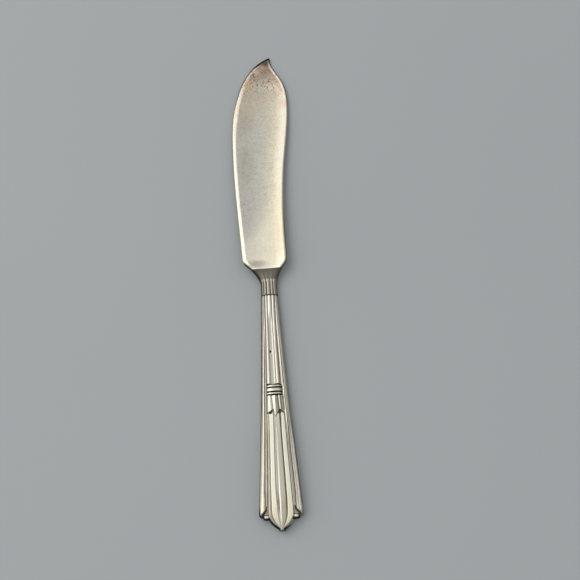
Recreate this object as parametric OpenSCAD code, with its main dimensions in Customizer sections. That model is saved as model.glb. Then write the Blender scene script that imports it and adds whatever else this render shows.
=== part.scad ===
// Master butter knife with a hollow handle, lying on its flat back with the blade's tip on the table.
// One forging makes the blade, the fluted neck and the hidden tang. Two stamped shells make the
// handle: a reeded front with a banded collar, a pointed fringe and a ridged petal, and a plain back.
// The shells are soldered rim to rim, filled with cement round the tang and soldered to the neck.
// +Y runs from the butt to the tip of the blade, +X to the right and +Z up through the front.
// The origin is under the middle of the knife, on the table. All sizes are in millimetres.

/* [Lengths] */
// Length of the handle, from the point of the petal to the neck joint
handle_l = 82; // [72:1:100]
// Length of the neck, from the joint to the corners of the blade's heel
neck_l = 13; // [10:0.5:18]
// Length of the blade, from the corners of its heel to its tip
blade_l = 83; // [70:1:100]

/* [Handle outline] */
// Half width of the handle at the neck joint
joint_half = 2.65; // [2.5:0.05:3.4]
// Half width of the handle across the two lobes
lobe_half = 6.95; // [6:0.05:8.5]
// How far the sides bow in from a straight taper, half way along
side_bow = 0.28; // [0:0.02:0.6]
// Distance from the point of the petal to the ends of the lobes
lobe_end = 4.6; // [4.2:0.1:5.6]
// Radius of the outer corner of a lobe
lobe_r = 0.9; // [0.4:0.1:1.5]
// Length over which the petal rounds in to its point
petal_round = 6.5; // [5.5:0.25:9]
// Half width of the blunted point of the petal
point_half = 0.35; // [0.2:0.05:0.6]
// Distance of the bead beside the petal from the middle of the handle
bead_x = 4.85; // [4.4:0.05:5.2]
// Half width of that bead
bead_half = 0.85; // [0.5:0.05:1]
// How far the rounded sides of the handle and the neck stand out beyond their ribs
flare = 0.4; // [0.1:0.05:0.5]
// Length of the solid butt above the ends of the lobes
butt_solid = 3.4; // [3:0.1:5]

/* [Handle section] */
// Height of the soldered seam's lower face above the table
seam_z = 1.6; // [1.3:0.05:2]
// Thickness of the shells
shell_t = 0.6; // [0.4:0.05:0.7]
// Depth that the front shell keeps clear under its deepest relief
relief_room = 0.35; // [0.3:0.05:0.5]
// Radius of the edge round the flat back
back_r = 0.9; // [0.5:0.1:1.2]
// Height of the front's edge at the neck joint
edge_joint_z = 2.9; // [2.6:0.05:3.1]
// Height of the front's edge at the lobes
edge_lobe_z = 3.5; // [3.2:0.05:3.8]
// Height of the front's middle at the neck joint
crown_joint_z = 4.1; // [3.9:0.05:4.5]
// Height of the front's middle half way down the petal
crown_petal_z = 4.9; // [4.5:0.05:5.6]
// Height of the front's middle at the point of the petal
crown_point_z = 3.3; // [2.8:0.05:3.8]
// How square the front's round is, from 2 for an arc upwards
crown_power = 3.4; // [2:0.1:4.5]

/* [Ornament] */
// Height of the reeds above the lines between them
reed_h = 0.4; // [0.1:0.02:0.5]
// Height of the two low reeds beside each lobe
low_reed_h = 0.12; // [0:0.02:0.3]
// Height of the outer ribs and the lobes
lobe_h = 0.42; // [0.2:0.02:0.6]
// Distance from the neck joint at which an outer rib begins to split
split_from_joint = 6; // [2:1:12]
// Length over which it splits into the two low reeds and the lobe
split_l = 16; // [8:1:24]
// Depth of the hollow along the middle of the upper handle
flute_d = 0.14; // [0:0.02:0.25]
// Length over which the middle sinks from the joint to that depth
flute_l = 14; // [8:1:24]
// Distance from the neck joint to the first line of the band
band_from_joint = 32.7; // [28:0.1:38]
// Distance between the two lines of a pair
band_pair = 1.05; // [0.8:0.05:1.3]
// Distance between the two pairs of lines
band_gap = 1.55; // [1.2:0.05:2]
// Depth of the band's lines
band_d = 0.3; // [0.1:0.02:0.34]
// Half the width of one line of the band
band_line = 0.3; // [0.15:0.05:0.35]
// Height of the smooth strap that the band's lines cross
strap_h = 0.3; // [0.1:0.02:0.4]
// Height of the roofed rib below the band
roof_h = 0.36; // [0.1:0.02:0.5]
// Distance from the band's last line to the notches of the fringe
fringe_from_band = 5.0; // [4:0.2:7]
// Reach of the fringe's middle point below its notches
fringe_middle = 2.5; // [1.5:0.1:3.5]
// Reach of the fringe's side points below its notches
fringe_side = 1.2; // [0.8:0.1:2.5]
// Depth of the cut below the fringe
fringe_d = 0.34; // [0.1:0.02:0.34]
// Depth of the petal's two valleys
valley_d = 0.14; // [0:0.02:0.34]
// Height of the fine ridge along the petal
ridge_h = 0.14; // [0:0.02:0.3]
// Height of the petal's rims
rim_h = 0.28; // [0.1:0.02:0.5]
// Depth of the fine line cut along each rim
rim_line_d = 0.16; // [0:0.02:0.3]
// Depth of the slanting fold at the end of each lobe
fold_d = 0.34; // [0:0.02:0.5]
// Height of the beads above the hollows that they lie in
bead_h = 0.45; // [0.2:0.05:0.6]
// How far the end of a lobe rolls over
lobe_roll = 0.9; // [0.4:0.1:1.1]

/* [Blade] */
// Reach of the spreading edge to the left of the middle, at its belly
belly_reach = 10.45; // [9:0.05:12]
// Distance from the heel to the belly
belly_from_heel = 41.5; // [34:0.5:44]
// Reach of the back edge to the right of the middle, at its shoulder
shoulder_reach = 10.45; // [9:0.05:12]
// Distance from the tip to that shoulder
shoulder_from_tip = 19.5; // [17:0.5:23]
// Reach of the waist in the back edge
waist_reach = 6.75; // [6:0.05:8]
// Distance from the heel to that waist
waist_from_heel = 12.5; // [8:0.5:18]
// Distance from the heel to the middle of the rise from the waist to the shoulder
rise_from_heel = 37.5; // [30:0.5:44]
// Reach of the heel's left corner
heel_left = 8.7; // [7.8:0.05:9]
// Reach of the heel's right corner
heel_right = 6.95; // [6.5:0.05:8]
// Distance of the tip to the right of the middle
tip_x = 4.3; // [3:0.1:5]
// Half width of the blunted tip
tip_half = 0.5; // [0.3:0.05:0.7]
// Distance from the tip at which the spreading edge turns in
turn_from_tip = 19; // [17:0.5:22]
// Length of the last, straighter stretch of that edge
slant_l = 7; // [5:0.5:9]
// Reach of that stretch to the left of the tip
slant_reach = 8.1; // [7:0.1:9]
// Length of the hollow curve of the back edge behind the tip
hook_l = 9; // [7:0.5:11]
// Reach of that curve to the right of the tip
hook_reach = 3.95; // [3.4:0.05:4.4]
// Thickness of the blade at the heel
heel_t = 1.5; // [1.2:0.05:1.8]
// Thickness of the blade at the tip
tip_t = 0.8; // [0.6:0.05:1.2]
// Height of the heel's underside above the table
heel_z = 3.5; // [3:0.1:4.2]
// Depth of the bevel along the spreading edge
bevel_d = 0.4; // [0.2:0.05:0.5]
// Width of that bevel
bevel_w = 1.15; // [0.8:0.05:1.6]
// Radius of the rounded back edge
edge_round = 1; // [0.4:0.1:1.2]
// Depth of the hollow across the face
face_hollow = 0.36; // [0:0.02:0.4]
// Distance from the heel's corners back to the crease at the foot of the face
crease_from_heel = 3.25; // [2.5:0.25:4]

/* [Neck and tang] */
// Half width of the neck's ribs at the joint
neck_half = 2.5; // [2.1:0.05:2.52]
// Length of the straight part of the neck
neck_straight = 5; // [4:0.25:5.5]
// Height of the neck's lower side above the table at the joint
neck_bottom_z = 0.5; // [0.3:0.05:0.7]
// Height of the neck's upper side at the joint
neck_top_z = 3.6; // [3.3:0.05:3.8]
// Height of the five ribs of the neck
neck_rib_h = 0.36; // [0:0.02:0.4]
// Length of those ribs, up to where the cove begins
neck_rib_l = 4.6; // [3:0.2:5.4]
// How far the neck's round falls at its sides
neck_fall = 0.6; // [0.3:0.05:0.9]
// Width of the tang
tang_w = 2; // [1.4:0.1:2.2]
// Thickness of the tang
tang_t = 1.4; // [0.8:0.05:1.5]
// Height of the tang's lower side above the table
tang_z = 0.95; // [0.8:0.05:1.05]
// Length of the tang inside the handle
tang_l = 38; // [20:1:56]

/* [Solder] */
// Thickness of the solder between the two shells
rim_solder_t = 0.15; // [0.08:0.01:0.25]
// Thickness of the solder at the neck joint
neck_solder_t = 0.2; // [0.1:0.05:0.4]
// How far the neck joint's solder stays inside the handle's end
neck_solder_inset = 0.12; // [0.05:0.01:0.2]

/* [Hidden] */

silver = "#cdc5ab";
dull_silver = "#b3aa90";
cement = "#8a7f6c";
solder = "#8f897c";

// Places along the knife
butt_y = -(handle_l + neck_l + blade_l) / 2;
joint_y = butt_y + handle_l;
heel_y = joint_y + neck_l;
tip_y = heel_y + blade_l;
shell_y = joint_y - neck_solder_t;
side_l = handle_l - lobe_end - lobe_r;
front_z = seam_z + rim_solder_t;
cavity_end = lobe_end + butt_solid;

// Lines that part the ribs, as shares of the handle's half width
line_a_joint = 0.24;
line_a_band = 0.17;
line_a_petal = 0.26;
line_b = 0.61;
line_c = 0.77;

// Half height of a bead, which fills the gap between the end of a lobe and the side of the petal
bead_r = 0.5;
bead_e = lobe_end - 0.35;

// Curves

function mix(a, b, k) = a + (b - a) * k;
function clamp(v) = max(0, min(1, v));
function ease(v) = let (u = clamp(v)) u * u * (3 - 2 * u);

// Hump that is 0 at both ends of a rib and 1 in its middle
function hump(f) = 4 * f * (1 - f);

// Fall of a rounded edge, from 1 at its brink to 0 a radius in
function quarter_round(u) = 1 - sqrt(clamp(1 - (1 - clamp(u)) ^ 2));

// Cubic between two knots, each [place, value, slope]
function span(k, n, p) = let (h = n[0] - k[0], u = clamp((p - k[0]) / h))
    k[1] * (2 * u ^ 3 - 3 * u ^ 2 + 1) + h * k[2] * (u ^ 3 - 2 * u ^ 2 + u)
    + n[1] * (3 * u ^ 2 - 2 * u ^ 3) + h * n[2] * (u ^ 3 - u ^ 2);

// Smooth curve through knots whose places rise
function curve(knots, p, i = 0) =
    i >= len(knots) - 2 || p <= knots[i + 1][0] ? span(knots[i], knots[i + 1], p) : curve(knots, p, i + 1);

// Solids between rings of points

// Two triangles for each step along and round the rings, always cut along the same diagonal
function skin_faces(rings, n) = [for (i = [0 : rings - 2]) for (j = [0 : n - 1])
    let (a = i * n + j, b = i * n + (j + 1) % n, c = b + n, d = a + n) each [[a, b, c], [a, c, d]]];

// Caps of rings whose point j on the way out faces point n - 1 - j on the way back
function strip_cap(first, n) = [for (j = [0 : n / 2 - 2])
    let (a = first + j, b = a + 1, c = first + n - 2 - j, d = c + 1) each [[a, c, b], [a, d, c]]];

function flipped(faces) = [for (f = faces) [f[0], f[2], f[1]]];

module loft(rings, first_cap, last_cap) {
    polyhedron(points = [for (r = rings) each r],
        faces = concat(skin_faces(len(rings), len(rings[0])), first_cap, last_cap), convexity = 10);
}

// Outline of the handle; e is the distance from the point of the petal

function side_half(y) = let (u = (joint_y - y) / side_l)
    mix(joint_half, lobe_half, u) - side_bow * hump(u);

function petal_half(y) = let (e = y - butt_y)
    max(point_half, line_b * side_half(y) * (1 - (1 - clamp(e / petal_round)) ^ 2.6));

function lobe_reach(y) = let (e = y - butt_y, in = lobe_end + lobe_r - e)
    e < lobe_end ? 0 : in < 0 ? side_half(y) : side_half(y) - lobe_r + sqrt(lobe_r ^ 2 - in ^ 2);

function bead_reach(y) = let (u = (y - butt_y - bead_e) / bead_r)
    abs(u) > 1 ? 0 : bead_x + bead_half * sqrt(1 - u ^ 2);

function outline_half(y) = max(petal_half(y), lobe_reach(y), bead_reach(y));

// Half width at the seam, where the rounded sides stand out furthest
function seam_half(y) = outline_half(y) + flare;

// Surface of the front without its ribs

// Distance from the point within which the front falls away to it
point_fall_l = 9;

function edge_z(y) = curve([[butt_y, edge_lobe_z - 0.4, 0], [butt_y + point_fall_l, edge_lobe_z, 0],
    [joint_y, edge_joint_z, 0]], y);

function crown_z(y) = curve([[butt_y, crown_point_z, 0.3], [butt_y + point_fall_l, crown_petal_z - 0.2, 0.05],
    [butt_y + handle_l / 3, crown_petal_z, 0], [joint_y, crown_joint_z, 0]], y);

function front_base(x, y) = mix(edge_z(y), crown_z(y), 1 - (x / side_half(y)) ^ crown_power);

// Places of the lines across the handle; near the butt line c turns in and out again along the fold

fold_l = 7.4;
fold_line = [[lobe_end, lobe_half - 0.65, 0], [lobe_end + 0.3, lobe_half - 0.8, -0.9],
    [lobe_end + 1.8, bead_x + 0.05, -0.5], [lobe_end + 3, bead_x - 0.2, 0.1],
    [lobe_end + fold_l, line_c * side_half(butt_y + lobe_end + fold_l), 0]];

function b_at(y) = min(petal_half(y), 0.94 * outline_half(y));
function a_share(y) = curve([[notch_y, line_a_petal, 0], [band_ys[3], line_a_petal, 0],
    [band_ys[0], line_a_band, 0], [joint_y, line_a_joint, 0]], y);
function a_at(y) = b_at(y) * a_share(y) / line_b;
function c_at(y) = let (e = y - butt_y, b = b_at(y), w = outline_half(y),
        c = e > lobe_end + fold_l ? line_c * side_half(y) : curve(fold_line, e))
    min(max(c, mix(b, w, 0.3)), mix(b, w, 0.7));

// Kinds of relief along the handle
reeds_here = 0;
strap_here = 1;
roof_here = 2;
petal_here = 3;

// Rows of the front shell, each [y, bend towards the fringe, kind of relief, share of a band line,
// distance below the notches]

band_y = shell_y - band_from_joint;
band_ys = [band_y, band_y - band_pair, band_y - band_pair - band_gap, band_y - 2 * band_pair - band_gap];
notch_y = band_ys[3] - fringe_from_band;
petal_low_y = butt_y + cavity_end;
// Length below the fringe in which the rows straighten, and the steps of its rows
petal_rise = 9;
petal_steps = [0.03, 0.3, 0.65, 1.1, 1.8, 2.8, 4.2, 6, 8.5];

upper_rows = [for (i = [0 : 9]) [mix(shell_y, band_y + 2 * band_line, i / 9), 0, reeds_here, 0, 0]];
band_rows = [for (i = [0 : 3]) each [[band_ys[i] + band_line, 0, i == 0 ? reeds_here : strap_here, 0, 0],
    [band_ys[i], 0, strap_here, 1, 0], [band_ys[i] - band_line, 0, i == 3 ? roof_here : strap_here, 0, 0]]];
roof_rows = [for (i = [1 : 6]) [mix(band_ys[3] - band_line, notch_y, i / 6), ease(i / 6), roof_here, 0, 0]];
petal_ys = concat([for (d = petal_steps) notch_y - d],
    [for (i = [1 : 9]) mix(notch_y - petal_steps[8], petal_low_y, i / 9)]);
petal_rows = [for (y = petal_ys) [y, 1 - ease((notch_y - y) / petal_rise), petal_here, 0, notch_y - y]];
// Distances from the point at which the butt is cut into rows, closer together where it turns
butt_es = concat([for (k = [0 : 4]) mix(cavity_end - 0.5, lobe_end + lobe_r, k / 4)],
    [for (q = [25, 50, 70, 85]) lobe_end + lobe_r * (1 - sin(q))],
    [for (k = [0 : 4]) mix(lobe_end - 0.03, bead_e - bead_r + 0.01, ease(k / 4))],
    [for (k = [0 : 6]) mix(bead_e - bead_r - 0.05, 0, (k / 6) ^ 0.8)]);
butt_rows = [for (e = butt_es) [butt_y + e, 0, petal_here, 0, notch_y - butt_y - e]];
front_rows = concat(upper_rows, band_rows, roof_rows, petal_rows, butt_rows);

// Columns of the front shell on its right half, each [panel, share of the panel's width]
panel_shares = [[0, 0.14, 0.5, 0.8], [0, 0.2, 0.42, 0.63, 0.75, 0.83, 0.92], [0, 0.25, 0.5, 0.75],
    [0, 0.15, 0.4, 0.65, 0.88]];
half_columns = [for (panel = [0 : 3]) for (f = panel_shares[panel]) [panel, f]];
column_count = 2 * len(half_columns) + 1;
function column(j) = let (k = abs(j - len(half_columns))) k == len(half_columns) ? [3, 1] : half_columns[k];

function column_x(c, y) = let (rails = [0, a_at(y), b_at(y), c_at(y), outline_half(y)])
    mix(rails[c[0]], rails[c[0] + 1], c[1]);

// How far the fringe hangs below its notches at a column
function fringe_reach(c) = c[0] == 0 ? fringe_middle * (1 - c[1])
    : c[0] == 1 ? fringe_side * min(c[1] / 0.85, (1.3 - c[1]) / 0.45)
    : c[0] == 2 ? fringe_side * 2 / 3 * (1 - c[1]) : 0;

// The ribs: height above the lines at a column

// Outer rib, which splits on its way down into two low reeds and a lobe
function outer_ribs(c, y) = let (f = c[1], whole_f = c[0] == 2 ? 0.43 * f : 0.43 + 0.57 * f,
        split = ease((shell_y - y - split_from_joint) / split_l),
        parted = c[0] == 2 ? low_reed_h * hump(2 * f % 1) ^ 0.8 : lobe_h * hump(f) ^ 0.8)
    mix(reed_h * hump(whole_f) ^ 0.8, parted, split);

function reeded(c, y) = let (f = c[1], middle = mix(0.6 * reed_h, -flute_d, ease((shell_y - y) / flute_l)))
    c[0] == 0 ? middle * (1 - f ^ 2) : reed_h * hump(f) ^ 0.75;

function strap(x, y) = strap_h * clamp(1 - (x / b_at(y)) ^ 2) ^ 0.7;

function roofed(c) = c[0] == 0 ? roof_h * (1 - c[1]) : reed_h * hump(c[1]) ^ 0.75;

// Shares of a rim's width at which its flat top begins and its fine line lies, and half the line's width
rim_rise_f = 0.2;
rim_line_f = 0.75;
rim_line_half_f = 0.08;

// Rim of the petal: a flat top between its valley and its fine line, with a bead outside the line;
// it begins with a rounded end below the fringe
function rim(f, below) = let (begun = clamp((below - 0.2 - 1.2 * (f / rim_line_f - 0.5) ^ 2) / 0.5),
        flat_top = mix(-valley_d, rim_h, ease(f / rim_rise_f)) * ease((rim_line_f - f) / 0.12),
        bead = 0.55 * rim_h * hump(clamp((f - rim_line_f) / (1 - rim_line_f))) ^ 0.7,
        line = rim_line_d * clamp(1 - abs(f - rim_line_f) / rim_line_half_f))
    ((f < rim_line_f ? flat_top : bead) - line) * sqrt(begun);

// Shares of a facet's width that its ridge and its valley take
ridge_f = 0.14;
valley_f = 0.22;
function petal(c, below) = let (f = c[1])
    c[0] > 0 ? rim(f, below)
    : ridge_h * clamp(1 - f / ridge_f) - valley_d * ease((f - 1 + valley_f) / valley_f);

function ribs(c, x, y, row) = c[0] > 1 ? outer_ribs(c, y)
    : row[2] == reeds_here ? reeded(c, y) : row[2] == strap_here ? strap(x, y)
    : row[2] == roof_here ? roofed(c) : petal(c, row[4]);

// The ribs die away as the petal narrows to its point
function narrowing(y) = clamp(petal_half(y) / (line_b * side_half(y)));

// How far the petal is levelled across: fully between its valleys, and less towards its sides
level_share = 0.85;
function levelled(c, row) = row[2] != petal_here || c[0] > 1 ? 0
    : level_share * (c[0] == 0 ? 1 : 1 - ease((c[1] - 0.6) / 0.4));

// Ground of the front: its round, levelled in the petal, rolled over at the lobes' ends, cut at the folds
lobe_roll_l = 1.1;
function on_lobe(c, e) = c[0] == 3 && e >= lobe_end;
function front_ground(c, x, y, row) = let (e = y - butt_y, base = front_base(x, y),
        fold = c == [3, 0] && e < cavity_end ? fold_d : 0,
        roll = on_lobe(c, e) ? lobe_roll * quarter_round((e - lobe_end) / lobe_roll_l) : 0)
    base + levelled(c, row) * (crown_z(y) - base) * narrowing(y) - fold - roll;

// A bead lies in the hollow between each lobe and the petal, which deepens from its upper end
hollow_d = 0.5;
hollow_fade = 2.2;
hollow_e = lobe_end + 2.6;
function bead_round(x, e) = let (u = (x - bead_x) / (bead_half + 0.2), v = (e - bead_e) / (bead_r + 0.12))
    sqrt(clamp(1 - u ^ 2 - v ^ 2));
function hollowed(z, c, x, y) = let (e = y - butt_y, low = edge_z(y) - hollow_d + bead_h * bead_round(x, e))
    c[0] < 2 || on_lobe(c, e) || e > hollow_e ? z : mix(z, min(z, low), ease((hollow_e - e) / hollow_fade));

// Radius of the front's outer edge, and the least height of that edge above the seam
edge_roll = 0.3;
// Depth of the rows below the fringe in which its cut fades
fringe_cut_l = 0.32;

function front_z_at(c, x, y, row) = let (
        raised = ribs(c, x, y, row) * narrowing(y),
        inner = c[0] < 2 ? 1 : 0,
        line = row[3] * inner,
        cut = row[2] == petal_here ? clamp(1.4 - row[4] / fringe_cut_l) * inner : 0,
        z = front_ground(c, x, y, row) + mix(raised, -band_d, line) - (raised + fringe_d) * cut,
        rolled = edge_roll * quarter_round((outline_half(y) - x) / edge_roll))
    max(hollowed(z, c, x, y) - rolled, front_z + edge_roll);

function front_point(row, j) = let (c = column(j), side = j < len(half_columns) ? -1 : 1,
        y = row[0] - row[1] * fringe_reach(c), x = column_x(c, y))
    [side * x, y, front_z_at(c, x, y, row)];

// The cavity, shared by the shells and the cement

function cavity_half(y) = side_half(y) - shell_t;
function cavity_z(q, y) = mix(crown_z(y) - shell_t - relief_room, front_z, 0.65 * q ^ 2);

// Underside of the front shell from right to left: the cavity, and a flat ground past its end
cavity_steps = [1, 0.6, 0, -0.6, -1];
function under_front(row) = let (y = row[0], open = y - butt_y >= cavity_end,
        half = min(cavity_half(y), 0.8 * outline_half(y)))
    concat([[half, y, front_z]],
        [for (q = cavity_steps) [half * (open ? q : 0.9 * q), y, open ? cavity_z(q, y) : front_z]],
        [[-half, y, front_z]]);

// Rounded side, from the edge of the front out and down to the seam
side_turns = [35, 65, 90];
function side_point(row, side, turn) = let (edge = front_point(row, column_count - 1))
    [side * (edge[0] + flare * sin(turn)), row[0], mix(front_z, edge[2], cos(turn))];

function front_ring(row) = concat(
    [for (i = [2 : -1 : 0]) side_point(row, -1, side_turns[i])],
    [for (j = [0 : column_count - 1]) front_point(row, j)],
    [for (turn = side_turns) side_point(row, 1, turn)],
    under_front(row));

outer_n = column_count + 2 * len(side_turns);
front_n = outer_n + len(cavity_steps) + 2;

// End of the front shell: each outer point is joined to the point of the underside nearest across
function nearest_under(i) = let (u = 2 * i / (outer_n - 1) - 1)
    i == 0 ? 0 : i == outer_n - 1 ? 6 : u < -0.8 ? 1 : u < -0.3 ? 2 : u <= 0.3 ? 3 : u <= 0.8 ? 4 : 5;
function front_cap(first) = [for (i = [0 : outer_n - 2])
    let (a = first + i, last = first + front_n - 1,
        m = last - nearest_under(i), n = last - nearest_under(i + 1))
    each m == n ? [[a, m, a + 1]] : i < (outer_n - 1) / 2 ? [[a, m, a + 1], [a + 1, m, n]]
        : [[a, m, n], [a, n, a + 1]]];

module handle_front() {
    rings = [for (r = front_rows) front_ring(r)];
    color(silver) loft(rings, front_cap(0), flipped(front_cap((len(rings) - 1) * front_n)));
}

// The back shell

back_ys = concat([for (i = [0 : 12]) mix(shell_y, butt_y + cavity_end, i / 12)],
    [for (e = butt_es) butt_y + e]);

// Corner of the back from the seam down, as [inset, z]; it ends under the flat, which is cut across it
back_cut = 0.3;
back_cut_inset = 1.75 * back_r;
function back_corner(k) = [back_r * (1 - cos(k)), back_r * (1 - sin(k))];

function back_ring(y) = let (w = seam_half(y), r = min(1, 0.5 * w / back_r), open = y - butt_y >= cavity_end,
        half = min(cavity_half(y), 0.8 * w), floor_z = open ? shell_t : seam_z)
    concat([[w, y, seam_z]],
        [for (k = [0, 30, 60]) [w - r * back_corner(k)[0], y, back_corner(k)[1]]],
        [[w - r * back_cut_inset, y, -back_cut], [-w + r * back_cut_inset, y, -back_cut]],
        [for (k = [60, 30, 0]) [-w + r * back_corner(k)[0], y, back_corner(k)[1]]],
        [[-w, y, seam_z], [-half, y, seam_z], [-half * (open ? 1 : 0.9), y, floor_z],
        [half * (open ? 1 : 0.9), y, floor_z], [half, y, seam_z]]);

back_n = 14;
function back_cap(first) = [for (f = [[0, 1, 13], [1, 12, 13], [1, 2, 12], [2, 3, 12], [3, 4, 12], [4, 5, 12],
    [5, 11, 12], [5, 6, 11], [6, 7, 11], [7, 8, 11], [8, 10, 11], [8, 9, 10]])
    [first + f[0], first + f[1], first + f[2]]];

module handle_back() {
    rings = [for (y = back_ys) back_ring(y)];
    color(dull_silver) difference() {
        loft(rings, flipped(back_cap(0)), back_cap((len(rings) - 1) * back_n));
        translate([-lobe_half - 1, butt_y - 1, -1]) cube([2 * lobe_half + 2, handle_l + 2, 1]);
    }
}

// The tang, from the neck joint into the handle

tang_end = 0.8;
function tang_section(y) = let (k = mix(1, tang_end, (joint_y - y) / tang_l), h = tang_t * k)
    [tang_w * k / 2, tang_z + (tang_t - h) / 2, tang_z + (tang_t + h) / 2];

module tang() {
    ends = [for (y = [joint_y, joint_y - tang_l]) let (s = tang_section(y))
        [[-s[0], y, s[2]], [s[0], y, s[2]], [s[0], y, s[1]], [-s[0], y, s[1]]]];
    loft(ends, strip_cap(0, 4), flipped(strip_cap(4, 4)));
}

// Cement that fills the cavity; its skin turns in at the handle's end and lines the tang's pocket

function cement_ring(y) = let (half = cavity_half(y)) concat(
    [for (q = -1 * cavity_steps) [half * q, y, cavity_z(q, y)]],
    [for (q = cavity_steps) [half * q, y, shell_t]]);

function pocket_ring(y) = let (s = tang_section(y)) concat(
    [for (q = -1 * cavity_steps) [s[0] * q, y, s[2]]],
    [for (q = cavity_steps) [s[0] * q, y, s[1]]]);

module handle_cement() {
    rings = concat([pocket_ring(joint_y - tang_l), pocket_ring(shell_y)],
        [for (r = front_rows) if (r[0] - butt_y >= cavity_end) cement_ring(r[0])]);
    n = 2 * len(cavity_steps);
    color(cement) loft(rings, strip_cap(0, n), flipped(strip_cap((len(rings) - 1) * n, n)));
}

// Solder between the rims of the shells

module rim_solder() {
    outer = [for (y = back_ys) [seam_half(y), y]];
    inner = [for (y = back_ys) if (y - butt_y >= cavity_end) [cavity_half(y), y]];
    module whole(side) {
        points = concat([for (p = side) p], [for (i = [len(side) - 1 : -1 : 0]) [-side[i][0], side[i][1]]]);
        polygon(points);
    }
    color(solder) translate([0, 0, seam_z]) linear_extrude(rim_solder_t) difference() {
        whole(outer);
        whole(inner);
    }
}

// Solder at the neck joint, a plate over the handle's end that the tang passes through

module neck_solder() {
    row = front_rows[0];
    k = 1 - neck_solder_inset / joint_half;
    top = [for (j = [0 : column_count - 1]) let (p = front_point(row, j)) [k * p[0], p[2] - neck_solder_inset]];
    low = [for (turn = [90, 60, 30, 0]) let (c = back_corner(turn))
        [joint_half - neck_solder_inset - c[0], c[1]]];
    outline = concat(top, [for (i = [3 : -1 : 0]) [low[i][0], low[i][1] + neck_solder_inset]],
        [for (p = low) [-p[0], p[1] + neck_solder_inset]]);
    color(solder) difference() {
        translate([0, joint_y, 0]) rotate([90, 0, 0]) linear_extrude(neck_solder_t) polygon(outline);
        tang();
    }
}

// The blade and neck

neck_side = neck_half + flare;
left_edge = [[joint_y, -neck_side, 0], [joint_y + neck_straight, -neck_side, -0.1],
    [heel_y - 4, -heel_left * 0.6, -0.85], [heel_y - 1.6, -heel_left * 0.89, -0.7],
    [heel_y + 0.8, -heel_left, -0.05],
    [heel_y + belly_from_heel, -belly_reach, 0], [tip_y - turn_from_tip, -0.82 * belly_reach, 0.24],
    [tip_y - slant_l, tip_x - slant_reach, 0.66], [tip_y, tip_x - tip_half, 2]];
right_edge = [[joint_y, neck_side, 0], [joint_y + neck_straight, neck_side, 0.1],
    [heel_y - 4, heel_right * 0.64, 0.7], [heel_y - 1.6, heel_right * 0.92, 0.6], [heel_y + 0.4, heel_right, 0],
    [heel_y + waist_from_heel, waist_reach, 0],
    [heel_y + rise_from_heel, mix(waist_reach, shoulder_reach, 0.33), 0.105],
    [tip_y - shoulder_from_tip, shoulder_reach, 0], [tip_y - hook_l, tip_x + hook_reach, -0.5],
    [tip_y - 0.44 * hook_l, tip_x + 0.33 * hook_reach, -0.42], [tip_y, tip_x + tip_half, 0]];

// How much longer a step across is than the distance from an edge that leans
lean_step = 0.05;
function lean(edge, y) = let (rise = curve(edge, y + lean_step) - curve(edge, y - lean_step))
    sqrt(1 + (rise / (2 * lean_step)) ^ 2);

// Undersides and upper faces along the middle
crease_y = heel_y - crease_from_heel;
cove_y = joint_y + neck_rib_l;
blade_under = [[joint_y, neck_bottom_z, 0.1], [crease_y + 1.5, heel_z, 0.12],
    [heel_y + 6, heel_z - 0.2, -0.045], [tip_y, 0, -heel_z / blade_l]];
function blade_t(y) = mix(heel_t, tip_t, clamp((y - heel_y) / blade_l));
function under_z(y) = curve(blade_under, y);
function face_z(y) = under_z(max(y, crease_y)) + blade_t(y);
function neck_z(y) = neck_top_z - 0.2 * clamp((y - joint_y) / neck_straight);

// 0 on the neck and 1 on the face, with a sharp crease where the cove meets the face
function face_share(y) = clamp((y - cove_y) / (crease_y - cove_y)) ^ 1.9;

// Columns, as shares of the half width: on the neck they follow its rounded sides and five ribs
rib_share = neck_half / neck_side;
rib_lines = rib_share * [-1, -0.62, -0.24, 0.24, 0.62, 1];
rib_steps = 4;
rib_ts = [for (j = [0 : 5 * rib_steps]) let (i = min(4, floor(j / rib_steps)))
    mix(rib_lines[i], rib_lines[i + 1], j / rib_steps - i)];
neck_ts = concat([-1, -mix(rib_share, 1, 0.8)], rib_ts, [mix(rib_share, 1, 0.8), 1]);
blade_columns = len(neck_ts);

// On the face they follow its bevel and its rounded back edge
left_gaps = bevel_w * [0, 0.13, 0.5, 1];
right_gaps = edge_round * [1, 0.5, 0.15, 0];
face_n = blade_columns - 8;
// Most of the width that one edge's columns may take where the blade is narrow
edge_room = 0.35;
function face_x(j, l, r, y) = let (left = lean(left_edge, y), right = lean(right_edge, y),
        room = min(1, edge_room * (r - l) / max(bevel_w * left, edge_round * right)))
    j < 4 ? l + left_gaps[j] * room * left : j >= 4 + face_n ? r - right_gaps[j - 4 - face_n] * room * right
    : mix(l + bevel_w * room * left, r - edge_round * room * right, (j - 3) / (face_n + 1));
function blade_x(j, y) = let (l = curve(left_edge, y), r = curve(right_edge, y))
    mix(mix(l, r, (neck_ts[j] + 1) / 2), face_x(j, l, r, y), ease((y - cove_y) / (crease_y - cove_y)));

// Five ribs across the neck that die away in the cove, and its sides that round down to the seam's height
rib_fade = 2.2;
function rib(t) = max([for (i = [0 : 4])
    hump(clamp((t - rib_lines[i]) / (rib_lines[i + 1] - rib_lines[i]))) ^ 0.7]);
function neck_relief(t, y) = let (out = clamp((abs(t) - rib_share) / (1 - rib_share)),
        edge = neck_z(y) - neck_fall, ribbed = neck_rib_h * rib(t) * (1 - ease((y - cove_y) / rib_fade)))
    ribbed - neck_fall * min(1, abs(t) / rib_share) ^ 4 - (edge - front_z) * (1 - sqrt(1 - out ^ 2));

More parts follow.
